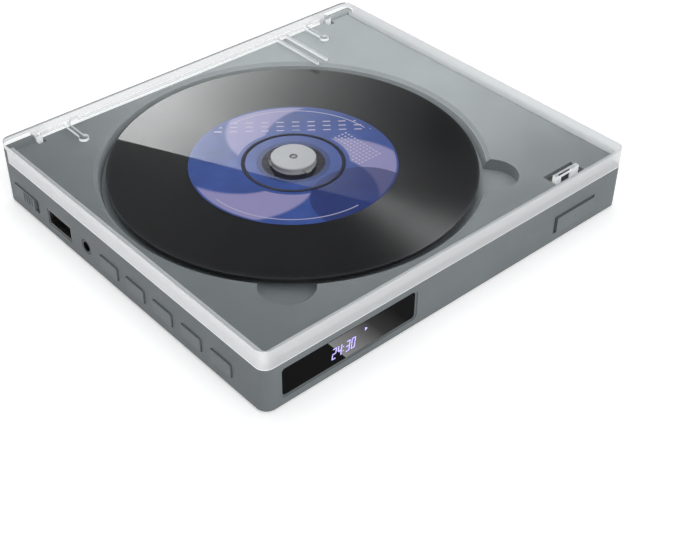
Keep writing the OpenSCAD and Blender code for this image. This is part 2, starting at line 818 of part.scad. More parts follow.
// Frame that carries the motors, rods and pickup on its rubber dampers
module drive_frame() {
    x0 = cx - 17.6;
    x1 = cx + 78.4;
    color([0.30, 0.31, 0.33]) difference() {
        union() {
            translate([x0, cy - 30.8, frame_z]) cube([x1 - x0, 66, frame_t]);
            translate([motor_x - 9, cy + 35, frame_z]) cube([20, motor_y + 8.5 - cy - 35, frame_t]);
            // Rod carriers at both ends
            for (side = [-1, 1], x = [cx + 11.6, cx + 74.6]) {
                translate([x, cy + side * rod_side - 2.6, rod_z - 1.9]) cube([3.6, 5.2, 3.8]);
            }
        }
        translate([cx + 15.2, cy - 21.4, frame_z - 1]) cube([59.4, 45.4, frame_t + 2]);
        translate([cx - 4.3, rack_y - 4.4, frame_z - 1]) cube([50, 6, frame_t + 2]);
        for (side = [-1, 1]) x_rod(cx + 10, cy + side * rod_side, rod_z, 67.4, rod_r);
        for (p = grommets) peg(p, frame_z - 1, frame_t + 2, grommet_neck);
        peg([cx, cy], frame_z - 1, frame_t + 2, 3.2);
        peg([motor_x, motor_y], frame_z - 1, frame_t + 2, 2);
        peg([feed_x, feed_y], frame_z - 1, frame_t + 2, shaft_r);
    }
}

module damper_grommets() {
    color([0.08, 0.08, 0.08]) for (p = grommets) difference() {
        union() {
            peg(p, frame_z - 0.6, frame_t + 1.3, grommet_neck - 0.02);
            peg(p, frame_z - 0.62, 0.6, grommet_r);
            peg(p, frame_z + frame_t + 0.02, 0.7, grommet_r);
        }
        peg(p, frame_z - 2, 6, damper_post_r + 0.02);
    }
}

module drive_screws() {
    color([0.7, 0.7, 0.7]) for (p = grommets) screw(p, frame_z - 1.65, 3.1, 1, 4, screw_r - 0.15);
}

// Flat can motor with a bearing nose that its shaft turns in
module flat_motor(p, r) {
    low = shell_z + 2.2;
    difference() {
        union() {
            peg(p, low + 0.3, frame_z - low - 0.3, r);
            translate([p[0], p[1], low]) cylinder(h = 0.3, r1 = r - 0.3, r2 = r);
            peg(p, frame_z - eps, frame_t + 0.2, 1.7);
        }
        peg(p, low + 1.2, 8, shaft_r + run_gap);
    }
}

module spindle_motor() {
    color([0.72, 0.72, 0.73]) flat_motor([cx, cy], 10);
}

module spindle_shaft() {
    color([0.8, 0.8, 0.82]) peg([cx, cy], shaft_low, disc_top - 1 - shaft_low, shaft_r);
}

module feed_motor() {
    color([0.72, 0.72, 0.73]) flat_motor([motor_x, motor_y], 7.5);
}

module feed_shaft() {
    shaft_top = wheel_z + wheel_t + 0.3;
    color([0.8, 0.8, 0.82]) peg([motor_x, motor_y], shaft_low, shaft_top - shaft_low, shaft_r);
}

// Pinion pressed on the feed motor's shaft
module feed_pinion() {
    color([0.9, 0.88, 0.8]) translate([motor_x, motor_y, 0]) difference() {
        translate([0, 0, wheel_z - 0.2]) linear_extrude(wheel_t + 0.4)
            rotate(feed_angle + 180 + 180 / pinion_teeth) gear_plan(pinion_teeth);
        translate([0, 0, wheel_z - 1]) cylinder(h = 4, r = shaft_r);
    }
}

module feed_gear() {
    color([0.92, 0.92, 0.88]) translate([feed_x, feed_y, 0]) difference() {
        union() {
            translate([0, 0, small_z])
                linear_extrude(wheel_z - small_z + eps) rotate(-90) gear_plan(small_teeth);
            translate([0, 0, wheel_z])
                linear_extrude(wheel_t) rotate(feed_angle) gear_plan(wheel_teeth);
        }
        translate([0, 0, small_z - 1]) cylinder(h = 8, r = shaft_r + run_gap);
    }
}

module gear_axle() {
    color([0.75, 0.75, 0.76]) union() {
        peg([feed_x, feed_y], frame_z, wheel_z + wheel_t + 0.1 - frame_z, shaft_r);
        peg([feed_x, feed_y], wheel_z + wheel_t + 0.1, 0.25, 1.5);
    }
}

module pickup_sled() {
    x0 = lens_x - sled_in;
    long = sled_in + sled_out;
    color([0.16, 0.16, 0.17]) difference() {
        union() {
            translate([x0, cy - sled_half, sled_low]) cube([long, 2 * sled_half, 3.9]);
            translate([x0 + 1, cy - 13, sled_low + 3.8]) cube([long - 2, 26, sled_top - sled_low - 3.8]);
            translate([x0 + 2, cy + sled_half - 0.5, sled_low + 2.4]) cube([long - 4, 1.6, 1.5]);
        }
        x_rod(x0 - 1, cy - rod_side, rod_z, long + 2, rod_r + run_gap);
        translate([x0 - 1, cy + rod_side - rod_r - 0.1, rod_z - rod_r - 0.1])
            cube([long + 2, 6, 2 * rod_r + 0.2]);
        peg([lens_x, cy], lens_low - 0.8, 5, 5.4);
    }
}

// Toothed bar on the pickup that the small feed gear drives
module sled_rack() {
    pitch = PI * gear_module;
    count = 21;
    x_end = feed_x + 2.2 * pitch;
    z = small_z + 0.15;
    h = wheel_z - z - 0.25;
    low = 0.8 * gear_module;
    top = 0.7 * gear_module;
    half = pitch / 4 - 0.07;
    foot = half + tan(20) * (low + 0.3);
    tip = half - tan(20) * top;
    color([0.92, 0.92, 0.88]) union() {
        translate([x_end - count * pitch, rack_y - 2.3, z]) cube([count * pitch, 2.3 - low - 0.2, h]);
        translate([lens_x - sled_in + 2, cy + sled_half - 0.4, sled_low + 3.9])
            cube([sled_in + sled_out - 4, 1.5, sled_top - sled_low - 3.9]);
        for (k = [1:count - 1]) translate([feed_x + (2 - k + 0.5) * pitch, rack_y, z]) linear_extrude(h) {
            polygon([[-foot, -low - 0.3], [foot, -low - 0.3], [tip, top], [-tip, top]]);
        }
    }
}

module lens_holder() {
    color([0.2, 0.2, 0.2]) difference() {
        union() {
            peg([lens_x, cy], lens_low, 3.2, 4.9);
            translate([lens_x, cy, lens_low + 3.1]) cylinder(h = 2, r1 = 4.2, r2 = 3.4);
        }
        peg([lens_x, cy], lens_low - 0.8, 8, 2.2);
    }
}

module objective_lens() {
    color([0.35, 0.45, 0.6]) union() {
        peg([lens_x, cy], lens_low + 3.8, 0.9, 2.18);
        translate([lens_x, cy, lens_low + 4.7]) cylinder(h = 0.45, r1 = 2, r2 = 1.2);
    }
}

module guide_rods() {
    color([0.8, 0.8, 0.82]) for (side = [-1, 1]) x_rod(cx + 11.8, cy + side * rod_side, rod_z, 65.4, rod_r);
}

module battery_pack() {
    color([0.35, 0.36, 0.50]) translate([battery_x, battery_y, cover_z])
        soft_block(battery_w, battery_d, battery_h, 2);
}

module battery_leads() {
    for (k = [0, 1]) color(k == 0 ? [0.7, 0.1, 0.1] : [0.1, 0.1, 0.1]) {
        y = board_front + 13.8 + k * 2.2;
        x_rod(board_x1 - 2, y, board_z + 2, battery_x - battery_w / 2 - board_x1 + 2, 0.6);
    }
}

module charge_board() {
    color([0.10, 0.32, 0.20]) translate([right - wall - 14, charge_y - 7, board_z - board_t])
        cube([13.6, 14, board_t]);
}

// Oval charging inlet with a centre tongue
module charge_socket() {
    color([0.76, 0.76, 0.77]) translate([right - 0.2, 0, 0]) mirror([1, 0, 0]) difference() {
        left_block(0, charge_y, charge_z, 8.9, 3.1, 8, 1.5);
        difference() {
            left_block(-1, charge_y, charge_z, 8.3, 2.5, 7.5, 1.2);
            translate([1, charge_y - 3.3, charge_z - 0.35]) cube([7, 6.6, 0.7]);
        }
    }
}

// Flat cable from the main board to the drive
module ribbon_cable() {
    x0 = board_x1 - 1;
    x1 = cx - 16;
    color([0.85, 0.82, 0.7]) {
        translate([x0, cy - 7, board_z + 1]) cube([x1 - x0 - 2, 12, 0.25]);
        translate([x1 - 2.25, cy - 7, board_z + 1]) cube([0.25, 12, frame_z - board_z - 1]);
        translate([x1 - 2.25, cy - 7, frame_z - 0.27]) cube([6, 12, 0.25]);
    }
}

top_shell();
bottom_cover();
rubber_feet();
case_screws();
lid();
hinge_pins();
disc();
spindle_hub();
clamp_jaws();
open_button();
catch_slide();
catch_screws();
catch_spring();
lid_switch();
power_slider();
slide_switch();
side_button(0);  // side_button_1
side_button(1);  // side_button_2
side_button(2);  // side_button_3
side_button(3);  // side_button_4
side_button(4);  // side_button_5
button_switches();
usb_shell();
usb_tongue();
headphone_jack();
display_window();
display_module();
display_board();
remote_receiver();
main_board();
board_screws();
control_chips();
drive_frame();
damper_grommets();
drive_screws();
spindle_motor();
spindle_shaft();
feed_motor();
feed_shaft();
feed_pinion();
feed_gear();
gear_axle();
pickup_sled();
sled_rack();
lens_holder();
objective_lens();
guide_rods();
battery_pack();
battery_leads();
charge_board();
charge_socket();
ribbon_cable();
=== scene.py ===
"""Finishes, small details and studio for a wall mounted disc player with a clear lid."""

import math

import bmesh
import bpy
from bpy.props import FloatProperty, FloatVectorProperty, IntProperty, PointerProperty
from bpy.types import Operator, Panel, PropertyGroup
from mathutils import Matrix, Vector


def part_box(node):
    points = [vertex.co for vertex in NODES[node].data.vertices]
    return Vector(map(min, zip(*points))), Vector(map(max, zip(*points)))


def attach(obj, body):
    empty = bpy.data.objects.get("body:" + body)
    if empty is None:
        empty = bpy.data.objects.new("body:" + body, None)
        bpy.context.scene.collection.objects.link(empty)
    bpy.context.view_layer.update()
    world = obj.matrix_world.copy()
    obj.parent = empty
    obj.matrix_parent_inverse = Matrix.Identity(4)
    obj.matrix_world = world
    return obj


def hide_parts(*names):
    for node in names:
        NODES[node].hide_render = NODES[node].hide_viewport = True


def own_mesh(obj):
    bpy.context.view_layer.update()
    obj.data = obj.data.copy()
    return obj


bl_info = {
    "name": "Disc player looks",
    "version": (1, 0, 0),
    "blender": (4, 5, 0),
    "location": "View3D > Sidebar > Disc Player",
    "description": "Finishes and small details for a wall mounted disc player",
    "category": "Object",
}

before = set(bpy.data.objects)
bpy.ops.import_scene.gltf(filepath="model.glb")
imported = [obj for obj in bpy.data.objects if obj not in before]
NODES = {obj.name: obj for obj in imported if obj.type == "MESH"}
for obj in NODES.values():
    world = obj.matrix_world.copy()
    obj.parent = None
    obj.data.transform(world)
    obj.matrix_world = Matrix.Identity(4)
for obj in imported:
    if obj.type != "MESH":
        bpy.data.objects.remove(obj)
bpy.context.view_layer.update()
MM = 0.001


def linear(red, green, blue):
    """A colour given in 0 to 255 steps, as Blender's linear values."""
    steps = [c / 255 for c in (red, green, blue)]
    return tuple(c / 12.92 if c <= 0.04045 else ((c + 0.055) / 1.055) ** 2.4 for c in steps)


def box_of(node):
    """Lowest and highest corner of a node, and its middle."""
    low, high = (Vector(corner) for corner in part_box(node))
    return low, high, (low + high) / 2


DISC_TOP, DISC_MID = box_of("disc")[1:]
WINDOW_LOW, WINDOW_MID = box_of("display_window")[::2]
LID_TOP = box_of("lid")[1]
# Height of the case's underside
BASE = box_of("bottom_cover")[0].z
# The digits shown, each with the strokes that light
DIGITS = [("2", "abged"), ("4", "fgbc"), ("3", "abgcd"), ("0", "abcdef")]


class PlayerSizes(PropertyGroup):
    """Sizes of the details that are added to the part."""

    label_inner: FloatProperty(
        name="Label inner radius", description="Where the printed label starts",
        default=10.3 * MM, unit="LENGTH")
    label_outer: FloatProperty(
        name="Label outer radius", description="Where the printed label ends",
        default=34.0 * MM, unit="LENGTH")
    ring_radius: FloatProperty(
        name="Stacking ring radius", description="Outer radius of the dark ring on the label",
        default=17.0 * MM, unit="LENGTH")
    ring_width: FloatProperty(
        name="Stacking ring width", description="Width of the dark ring on the label",
        default=1.3 * MM, unit="LENGTH")
    digit_height: FloatProperty(
        name="Digit height", description="Height of the glowing digits",
        default=3.9 * MM, unit="LENGTH")
    digit_width: FloatProperty(
        name="Digit width", description="Width of one glowing digit",
        default=1.55 * MM, unit="LENGTH")
    stroke: FloatProperty(
        name="Digit stroke", description="Width of one segment of a digit",
        default=0.36 * MM, unit="LENGTH")
    soft_edge: FloatProperty(
        name="Soft edge", description="Rounding of moulded edges",
        default=0.22 * MM, unit="LENGTH")
    lid_edge: FloatProperty(
        name="Lid edge", description="Rounding of the clear lid's edges",
        default=0.35 * MM, unit="LENGTH")
    floor_size: FloatProperty(
        name="Floor size", description="Width of the studio floor",
        default=6.0, unit="LENGTH")


class PlayerColours(PropertyGroup):
    """Colours of the finishes."""

    case_grey: FloatVectorProperty(
        name="Case grey", description="Moulded case and its controls",
        default=linear(122, 128, 130), subtype="COLOR", size=3, min=0, max=1)
    base_grey: FloatVectorProperty(
        name="Base grey", description="Cover on the wall side",
        default=linear(112, 118, 120), subtype="COLOR", size=3, min=0, max=1)
    hub_grey: FloatVectorProperty(
        name="Hub grey", description="Spindle cap and turntable",
        default=linear(206, 207, 211), subtype="COLOR", size=3, min=0, max=1)
    disc_black: FloatVectorProperty(
        name="Disc black", description="Dark face of the disc",
        default=linear(9, 9, 10), subtype="COLOR", size=3, min=0, max=1)
    label_blue: FloatVectorProperty(
        name="Label blue", description="Ground colour of the label",
        default=linear(56, 84, 160), subtype="COLOR", size=3, min=0, max=1)
    label_lilac: FloatVectorProperty(
        name="Label lilac", description="Second colour of the label",
        default=linear(178, 169, 218), subtype="COLOR", size=3, min=0, max=1)
    label_pale: FloatVectorProperty(
        name="Label pale", description="Light marks on the label",
        default=linear(214, 208, 232), subtype="COLOR", size=3, min=0, max=1)
    label_dark: FloatVectorProperty(
        name="Label dark", description="Darkest colour of the label",
        default=linear(36, 48, 116), subtype="COLOR", size=3, min=0, max=1)
    digit_glow: FloatVectorProperty(
        name="Digit glow", description="Light of the digits",
        default=linear(176, 166, 236), subtype="COLOR", size=3, min=0, max=1)
    board_green: FloatVectorProperty(
        name="Board green", description="Solder mask of the boards",
        default=linear(26, 92, 56), subtype="COLOR", size=3, min=0, max=1)
    digit_power: FloatProperty(
        name="Digit power", description="Brightness of the digits",
        default=1.1, min=0, max=10)
    grain: IntProperty(
        name="Grain", description="Grains of the moulded texture per metre",
        default=1500, min=100, max=5000)


def sizes():
    """The sizes that a user can change."""
    return bpy.context.scene.player_sizes


def colours():
    """The colours that a user can change."""
    return bpy.context.scene.player_colours


# Materials


def blank(name):
    """A material with an empty node tree and its output."""
    material = bpy.data.materials.new(name)
    material.use_nodes = True
    tree = material.node_tree
    tree.nodes.clear()
    return material, tree, tree.nodes.new("ShaderNodeOutputMaterial")


def add(tree, kind, **values):
    """A node with its settings and the values of its inputs."""
    node = tree.nodes.new(kind)
    for key, value in values.items():
        if hasattr(node, key):
            setattr(node, key, value)
        else:
            node.inputs[key.replace("_", " ")].default_value = value
    return node


def place_of(tree):
    """Position in the part's frame, in metres."""
    return add(tree, "ShaderNodeTexCoord").outputs["Object"]


def noise(tree, place, scale, detail=2.0, rough=0.5):
    """Noise between 0 and 1; the scale is in waves per metre."""
    node = add(tree, "ShaderNodeTexNoise")
    node.inputs["Scale"].default_value = scale
    node.inputs["Detail"].default_value = detail
    node.inputs["Roughness"].default_value = rough
    tree.links.new(place, node.inputs["Vector"])
    return node.outputs["Fac"]


def ramp(tree, value, stops):
    """A colour ramp through (position, colour) stops."""
    node = add(tree, "ShaderNodeValToRGB")
    bar = node.color_ramp
    while len(bar.elements) < len(stops):
        bar.elements.new(1)
    for element, (position, colour) in zip(bar.elements, stops):
        element.position = position
        element.color = (*colour, 1) if len(colour) == 3 else colour
    tree.links.new(value, node.inputs["Fac"])
    return node.outputs["Color"]


def levels(tree, value, low, high, to_low=0.0, to_high=1.0):
    """Maps low to high onto another span, flat beyond both ends. Low may be above high."""
    node = add(tree, "ShaderNodeMapRange")
    for name, number in (("From Min", low), ("From Max", high), ("To Min", to_low), ("To Max", to_high)):
        node.inputs[name].default_value = number
    tree.links.new(value, node.inputs["Value"])
    return node.outputs["Result"]


def sums(tree, operation, first, second=None, third=None):
    """A maths node on sockets or numbers."""
    node = add(tree, "ShaderNodeMath", operation=operation)
    for index, value in enumerate((first, second, third)):
        if value is None:
            continue
        if isinstance(value, (int, float)):
            node.inputs[index].default_value = value
        else:
            tree.links.new(value, node.inputs[index])
    return node.outputs[0]


def blend_colours(tree, factor, first, second):
    """Mixes two colours, each a socket or a colour, by a socket."""
    node = add(tree, "ShaderNodeMix", data_type="RGBA")
    tree.links.new(factor, node.inputs["Factor"])
    for name, value in (("A", first), ("B", second)):
        socket = [s for s in node.inputs if s.name == name and s.type == "RGBA"][0]
        if isinstance(value, bpy.types.NodeSocket):
            tree.links.new(value, socket)
        else:
            socket.default_value = (*tuple(value)[:3], 1)
    return [s for s in node.outputs if s.type == "RGBA"][0]


def waves(tree, value, length):
    """A sine of a distance, with a wave length in metres."""
    return sums(tree, "SINE", sums(tree, "MULTIPLY", value, 2 * math.pi / length))


def inverse(tree, value):
    """1 less a value."""
    return sums(tree, "SUBTRACT", 1.0, value)


def split_axes(tree, vector):
    """The X, Y and Z of a vector, by name."""
    axes = add(tree, "ShaderNodeSeparateXYZ")
    tree.links.new(vector, axes.inputs[0])
    return axes.outputs


def shade(colour, factor):
    """A colour made darker or lighter by a factor."""
    return tuple(min(1.0, c * factor) for c in tuple(colour)[:3])


def principled(tree, out, roughness=0.5, metallic=0.0, level=0.5, coat=0.0, coat_rough=0.05):
    """The main surface shader, joined to the output."""
    node = add(tree, "ShaderNodeBsdfPrincipled")
    node.inputs["Roughness"].default_value = roughness
    node.inputs["Metallic"].default_value = metallic
    node.inputs["Specular IOR Level"].default_value = level
    node.inputs["Coat Weight"].default_value = coat
    node.inputs["Coat Roughness"].default_value = coat_rough
    tree.links.new(node.outputs[0], out.inputs["Surface"])
    return node


def bump(tree, shader, height, strength, distance=0.1 * MM):
    """Fine relief from a height between 0 and 1."""
    node = add(tree, "ShaderNodeBump")
    node.inputs["Strength"].default_value = strength
    node.inputs["Distance"].default_value = distance
    tree.links.new(height, node.inputs["Height"])
    tree.links.new(node.outputs[0], shader.inputs["Normal"])


def mixed(tree, factor, first, second):
    """Mixes two shaders by a number or a socket."""
    node = add(tree, "ShaderNodeMixShader")
    if isinstance(factor, (int, float)):
        node.inputs["Fac"].default_value = factor
    else:
        tree.links.new(factor, node.inputs["Fac"])
    tree.links.new(first, node.inputs[1])
    tree.links.new(second, node.inputs[2])
    return node.outputs[0]


def moulded(name, colour, roughness=0.5, level=0.4, strength=0.25, spread=0.05):
    """Moulded plastic: fine grain, slight mottling and slightly uneven gloss."""
    material, tree, out = blank(name)
    place = place_of(tree)
    shader = principled(tree, out, roughness, level=level)
    mottle = noise(tree, place, 55, 3)
    darker, lighter = shade(colour, 1 - spread), shade(colour, 1 + spread)
    base = blend_colours(tree, levels(tree, mottle, 0.3, 0.7), darker, lighter)
    tree.links.new(base, shader.inputs["Base Color"])
    grain = noise(tree, place, colours().grain, 2, 0.6)
    uneven = levels(tree, grain, 0.3, 0.7, roughness - 0.06, roughness + 0.08)
    tree.links.new(uneven, shader.inputs["Roughness"])
    bump(tree, shader, grain, strength)
    return material


def metal(name, colour, roughness=0.25, along=(1, 1, 12), strength=0.12):
    """Metal with fine drawn lines."""
    material, tree, out = blank(name)
    stretch = add(tree, "ShaderNodeMapping")
    stretch.inputs["Scale"].default_value = along
    tree.links.new(place_of(tree), stretch.inputs["Vector"])
    shader = principled(tree, out, roughness, metallic=1.0)
    lines = noise(tree, stretch.outputs[0], 900, 3, 0.6)
    base = blend_colours(tree, levels(tree, lines, 0.3, 0.7), shade(colour, 0.9), shade(colour, 1.06))
    tree.links.new(base, shader.inputs["Base Color"])
    uneven = levels(tree, lines, 0.3, 0.7, roughness - 0.07, roughness + 0.1)
    tree.links.new(uneven, shader.inputs["Roughness"])
    bump(tree, shader, lines, strength)
    return material


def circuit(name, colour):
    """Solder mask over straight copper tracks, in blocks that run one way or the other."""
    material, tree, out = blank(name)
    place = place_of(tree)
    shader = principled(tree, out, 0.35)
    blocks = add(tree, "ShaderNodeTexVoronoi", distance="CHEBYCHEV")
    blocks.inputs["Scale"].default_value = 140
    tree.links.new(place, blocks.inputs["Vector"])
    pick = add(tree, "ShaderNodeSeparateColor")
    tree.links.new(blocks.outputs["Color"], pick.inputs[0])
    axes = split_axes(tree, place)
    pitch = 1.1 * MM
    along = levels(tree, waves(tree, axes["X"], pitch), 0.4, 0.55)
    upward = sums(tree, "ADD", axes["Y"], axes["Z"])
    across = levels(tree, waves(tree, upward, pitch), 0.4, 0.55)
    way = sums(tree, "GREATER_THAN", pick.outputs["Red"], 0.5)
    one_way = sums(tree, "MULTIPLY", along, way)
    other_way = sums(tree, "MULTIPLY", across, inverse(tree, way))
    line = sums(tree, "ADD", one_way, other_way)
    line = sums(tree, "MULTIPLY", line, sums(tree, "GREATER_THAN", pick.outputs["Green"], 0.4))
    base = blend_colours(tree, line, colour, shade(colour, 1.7))
    tree.links.new(base, shader.inputs["Base Color"])
    bump(tree, shader, line, 0.15)
    return material


def lid_zones(tree, coord):
    """Where a point of the lid lies, as values between 0 and 1."""
    tilt = split_axes(tree, coord.outputs["Normal"])
    upright = sums(tree, "ABSOLUTE", tilt["Z"])
    sideways = sums(tree, "ABSOLUTE", tilt["X"])
    where = split_axes(tree, coord.outputs["Object"])
    across = sums(tree, "ABSOLUTE", where["X"])
    deep = sums(tree, "ABSOLUTE", where["Y"])
    rear = LID_TOP.y - 1.1 * MM
    # Everything that isn't flat, and the rounded edges
    wall = levels(tree, upright, 0.95, 0.2)
    edge = sums(tree, "MULTIPLY", levels(tree, upright, 0.995, 0.9), levels(tree, upright, 0.1, 0.3))
    # The hinge wall between its ears
    hinge_wall = sums(tree, "MULTIPLY", levels(tree, where["Y"], 64.5 * MM, 65.5 * MM),
                      levels(tree, across, 60 * MM, 58 * MM))
    # Ribs, ears and prongs, inside the four walls
    inner = sums(tree, "MULTIPLY", levels(tree, across, 72.8 * MM, 71.8 * MM),
                 levels(tree, deep, 65.2 * MM, 64.2 * MM))
    # The upper edge over the hinge, where a grey line of painted shade goes
    rear_edge = sums(tree, "MULTIPLY", levels(tree, where["Y"], rear, rear + 0.2 * MM),
                     levels(tree, where["Z"], LID_TOP.z - 0.7 * MM, LID_TOP.z - 0.5 * MM))
    # The lower lip, and the start of the rounding along the other upper edges, where painted glowing lines go
    lip = sums(tree, "MULTIPLY", levels(tree, where["Z"], 16.5 * MM, 16.3 * MM), wall)
    crest = sums(tree, "MULTIPLY", levels(tree, upright, 0.999, 0.985), levels(tree, upright, 0.8, 0.9))
    crest = sums(tree, "MULTIPLY", crest, levels(tree, where["Y"], rear, rear - 0.1 * MM))
    return sideways, wall, edge, hinge_wall, inner, rear_edge, lip, crest


def clear_plastic(name):
    """Clear lid: see-through plate, milky where one looks along its walls and rounded edges, with painted
    glow along its lip, top edges and ribs, and a grey line of painted shade over the hinge.
    """
    material, tree, out = blank(name)
    coord = add(tree, "ShaderNodeTexCoord")
    sideways, wall, edge, hinge_wall, inner, rear_edge, lip, crest = lid_zones(tree, coord)
    # The hinge wall is clearer than the others; ribs, ears and prongs are whiter
    # Walls that face sideways get more milk than the front and rear walls: painted light, which makes the
    # side walls brighter
    side = levels(tree, sideways, 0.3, 0.9, 0.62, 0.8)
    side = sums(tree, "MULTIPLY", side, inverse(tree, sums(tree, "MULTIPLY", hinge_wall, 0.55)))
    side = sums(tree, "MAXIMUM", side, sums(tree, "MULTIPLY", inner, 0.9))
    haze = levels(tree, noise(tree, coord.outputs["Object"], 18, 2), 0.2, 0.8, 0.0, 0.003)
    haze = sums(tree, "ADD", haze, sums(tree, "MULTIPLY", wall, side))
    haze = sums(tree, "MINIMUM", sums(tree, "ADD", haze, sums(tree, "MULTIPLY", edge, 0.35)), 0.97)
    # Painted shade: the edge over the hinge is coloured grey, so that it shows as a thin grey line
    haze = sums(tree, "MAXIMUM", haze, sums(tree, "MULTIPLY", rear_edge, 0.6))
    plastic = blend_colours(tree, rear_edge, linear(248, 249, 250), linear(168, 170, 172))
    clear = add(tree, "ShaderNodeBsdfTransparent")
    clear.inputs["Color"].default_value = (0.985, 0.99, 0.99, 1)
    milk = add(tree, "ShaderNodeBsdfDiffuse")
    tree.links.new(plastic, milk.inputs["Color"])
    through = add(tree, "ShaderNodeBsdfTranslucent")
    tree.links.new(plastic, through.inputs["Color"])
    body = mixed(tree, 0.2, milk.outputs[0], through.outputs[0])
    veil = mixed(tree, haze, clear.outputs[0], body)
    # Painted glow: a white emission on the outer faces only paints bright lines along the lower lip and the
    # top edges, and makes the ribs glow
    outside = inverse(tree, add(tree, "ShaderNodeNewGeometry").outputs["Backfacing"])
    painted_rib_glow = sums(tree, "MULTIPLY", sums(tree, "MULTIPLY", inner, wall), 1.1)
    bright = sums(tree, "MAXIMUM", sums(tree, "MAXIMUM", lip, crest), painted_rib_glow)
    bright = sums(tree, "MULTIPLY", sums(tree, "MULTIPLY", bright, 0.26), outside)
    # The emission that paints the glow, as strong as bright says
    lit = add(tree, "ShaderNodeEmission")
    lit.inputs["Color"].default_value = (1, 1, 1, 1)
    tree.links.new(bright, lit.inputs["Strength"])
    both = add(tree, "ShaderNodeAddShader")
    tree.links.new(veil, both.inputs[0])
    tree.links.new(lit.outputs[0], both.inputs[1])
    gloss = add(tree, "ShaderNodeBsdfGlossy")
    gloss.inputs["Roughness"].default_value = 0.04
    gloss.inputs["Color"].default_value = (1, 1, 1, 1)
    rim_light = add(tree, "ShaderNodeFresnel")
    rim_light.inputs["IOR"].default_value = 1.35
    polish = sums(tree, "MULTIPLY", rim_light.outputs[0], outside)
    tree.links.new(mixed(tree, polish, both.outputs[0], gloss.outputs[0]), out.inputs["Surface"])
    return material


def polar(tree, centre):
    """Level position from an upright axis through a point, and the distance from that axis."""
    away = add(tree, "ShaderNodeVectorMath", operation="SUBTRACT")
    away.inputs[1].default_value = centre
    tree.links.new(place_of(tree), away.inputs[0])
    flat = add(tree, "ShaderNodeVectorMath", operation="MULTIPLY")
    flat.inputs[1].default_value = (1, 1, 0)
    tree.links.new(away.outputs[0], flat.inputs[0])
    length = add(tree, "ShaderNodeVectorMath", operation="LENGTH")
    tree.links.new(flat.outputs[0], length.inputs[0])
    return flat.outputs[0], length.outputs["Value"]


def band(tree, value, low, high, soft):
    """1 between low and high and 0 outside, with soft ends."""
    above, below = levels(tree, value, low - soft, low), levels(tree, value, high + soft, high)
    return sums(tree, "MULTIPLY", above, below)


def disc_face(name):
    """Glossy dark disc: fine rings that fan the light, under a clear coat."""
    material, tree, out = blank(name)
    flat, radius = polar(tree, DISC_MID)
    shader = principled(tree, out, 0.34, level=0.16, coat=1.0, coat_rough=0.005)
    shader.inputs["Coat IOR"].default_value = 1.5
    shader.inputs["Anisotropic"].default_value = 0.9
    shader.inputs["Anisotropic Rotation"].default_value = 0.25
    tangent = add(tree, "ShaderNodeTangent", direction_type="RADIAL", axis="Z")
    tree.links.new(tangent.outputs[0], shader.inputs["Tangent"])
    rings = waves(tree, radius, 0.55 * MM)
    drift = noise(tree, flat, 40, 2)
    base = blend_colours(tree, drift, shade(colours().disc_black, 0.85), shade(colours().disc_black, 1.2))
    # The clear rim beyond the dark layer
    base = blend_colours(tree, levels(tree, radius, 59.0 * MM, 59.6 * MM), base, linear(24, 25, 26))
    tree.links.new(base, shader.inputs["Base Color"])
    tree.links.new(levels(tree, rings, -1, 1, 0.3, 0.36), shader.inputs["Roughness"])
    bump(tree, shader, rings, 0.02, 0.02 * MM)
    return material


def label_fans(tree, angle, radius):
    """Three broad fans that sweep round the hub."""
    turn = sums(tree, "ADD", sums(tree, "MULTIPLY", angle, 3), sums(tree, "MULTIPLY", radius, 130))
    fan = levels(tree, sums(tree, "SINE", turn), 0.25, 0.45)
    return sums(tree, "MULTIPLY", fan, band(tree, radius, 18.5 * MM, 33.2 * MM, 0.3 * MM))


def label_moon(tree, flat):
    """A half moon towards the front."""
    moon = add(tree, "ShaderNodeVectorMath", operation="DISTANCE")
    moon.inputs[1].default_value = (4 * MM, -30 * MM, 0)
    tree.links.new(flat, moon.inputs[0])
    return levels(tree, moon.outputs["Value"], 17.4 * MM, 17.0 * MM, 0, 0.72)


def label_bars(tree, x, y, radius):
    """Slanted bars, cut into short dashes."""
    across = sums(tree, "ADD", sums(tree, "MULTIPLY", x, 0.62), sums(tree, "MULTIPLY", y, 0.78))
    along = sums(tree, "SUBTRACT", sums(tree, "MULTIPLY", x, 0.78), sums(tree, "MULTIPLY", y, 0.62))
    bars = levels(tree, waves(tree, across, 2.6 * MM), 0.72, 0.8)
    dashes = levels(tree, waves(tree, along, 5.2 * MM), 0.0, 0.1)
    bars = sums(tree, "MULTIPLY", bars, dashes)
    bars = sums(tree, "MULTIPLY", bars, band(tree, across, 17.5 * MM, 26 * MM, 0.1 * MM))
    return sums(tree, "MULTIPLY", bars, band(tree, radius, 19 * MM, 32.4 * MM, 0.1 * MM))


def label_cells(tree, x, y, radius):
    """A block of small squares on one side."""
    cells = 0.9
    for place in (x, y):
        cells = sums(tree, "MULTIPLY", levels(tree, waves(tree, place, 1.5 * MM), -0.1, 0.1), cells)
    # The block's bounds in plan and on the label, and how soft each is
    for place, low, high, soft in ((x, 15, 25.5, 0.05), (y, -15, 3, 0.05), (radius, 19, 32, 0.1)):
        cells = sums(tree, "MULTIPLY", cells, band(tree, place, low * MM, high * MM, soft * MM))
    return cells


def label_arcs(tree, angle, radius):
    """Two thin arcs near the rim."""
    ring = band(tree, radius, 31.2 * MM, 31.5 * MM, 0.05 * MM)
    halves = sums(tree, "SINE", sums(tree, "MULTIPLY", angle, 2))
    return sums(tree, "MULTIPLY", ring, levels(tree, halves, 0.0, 0.02))


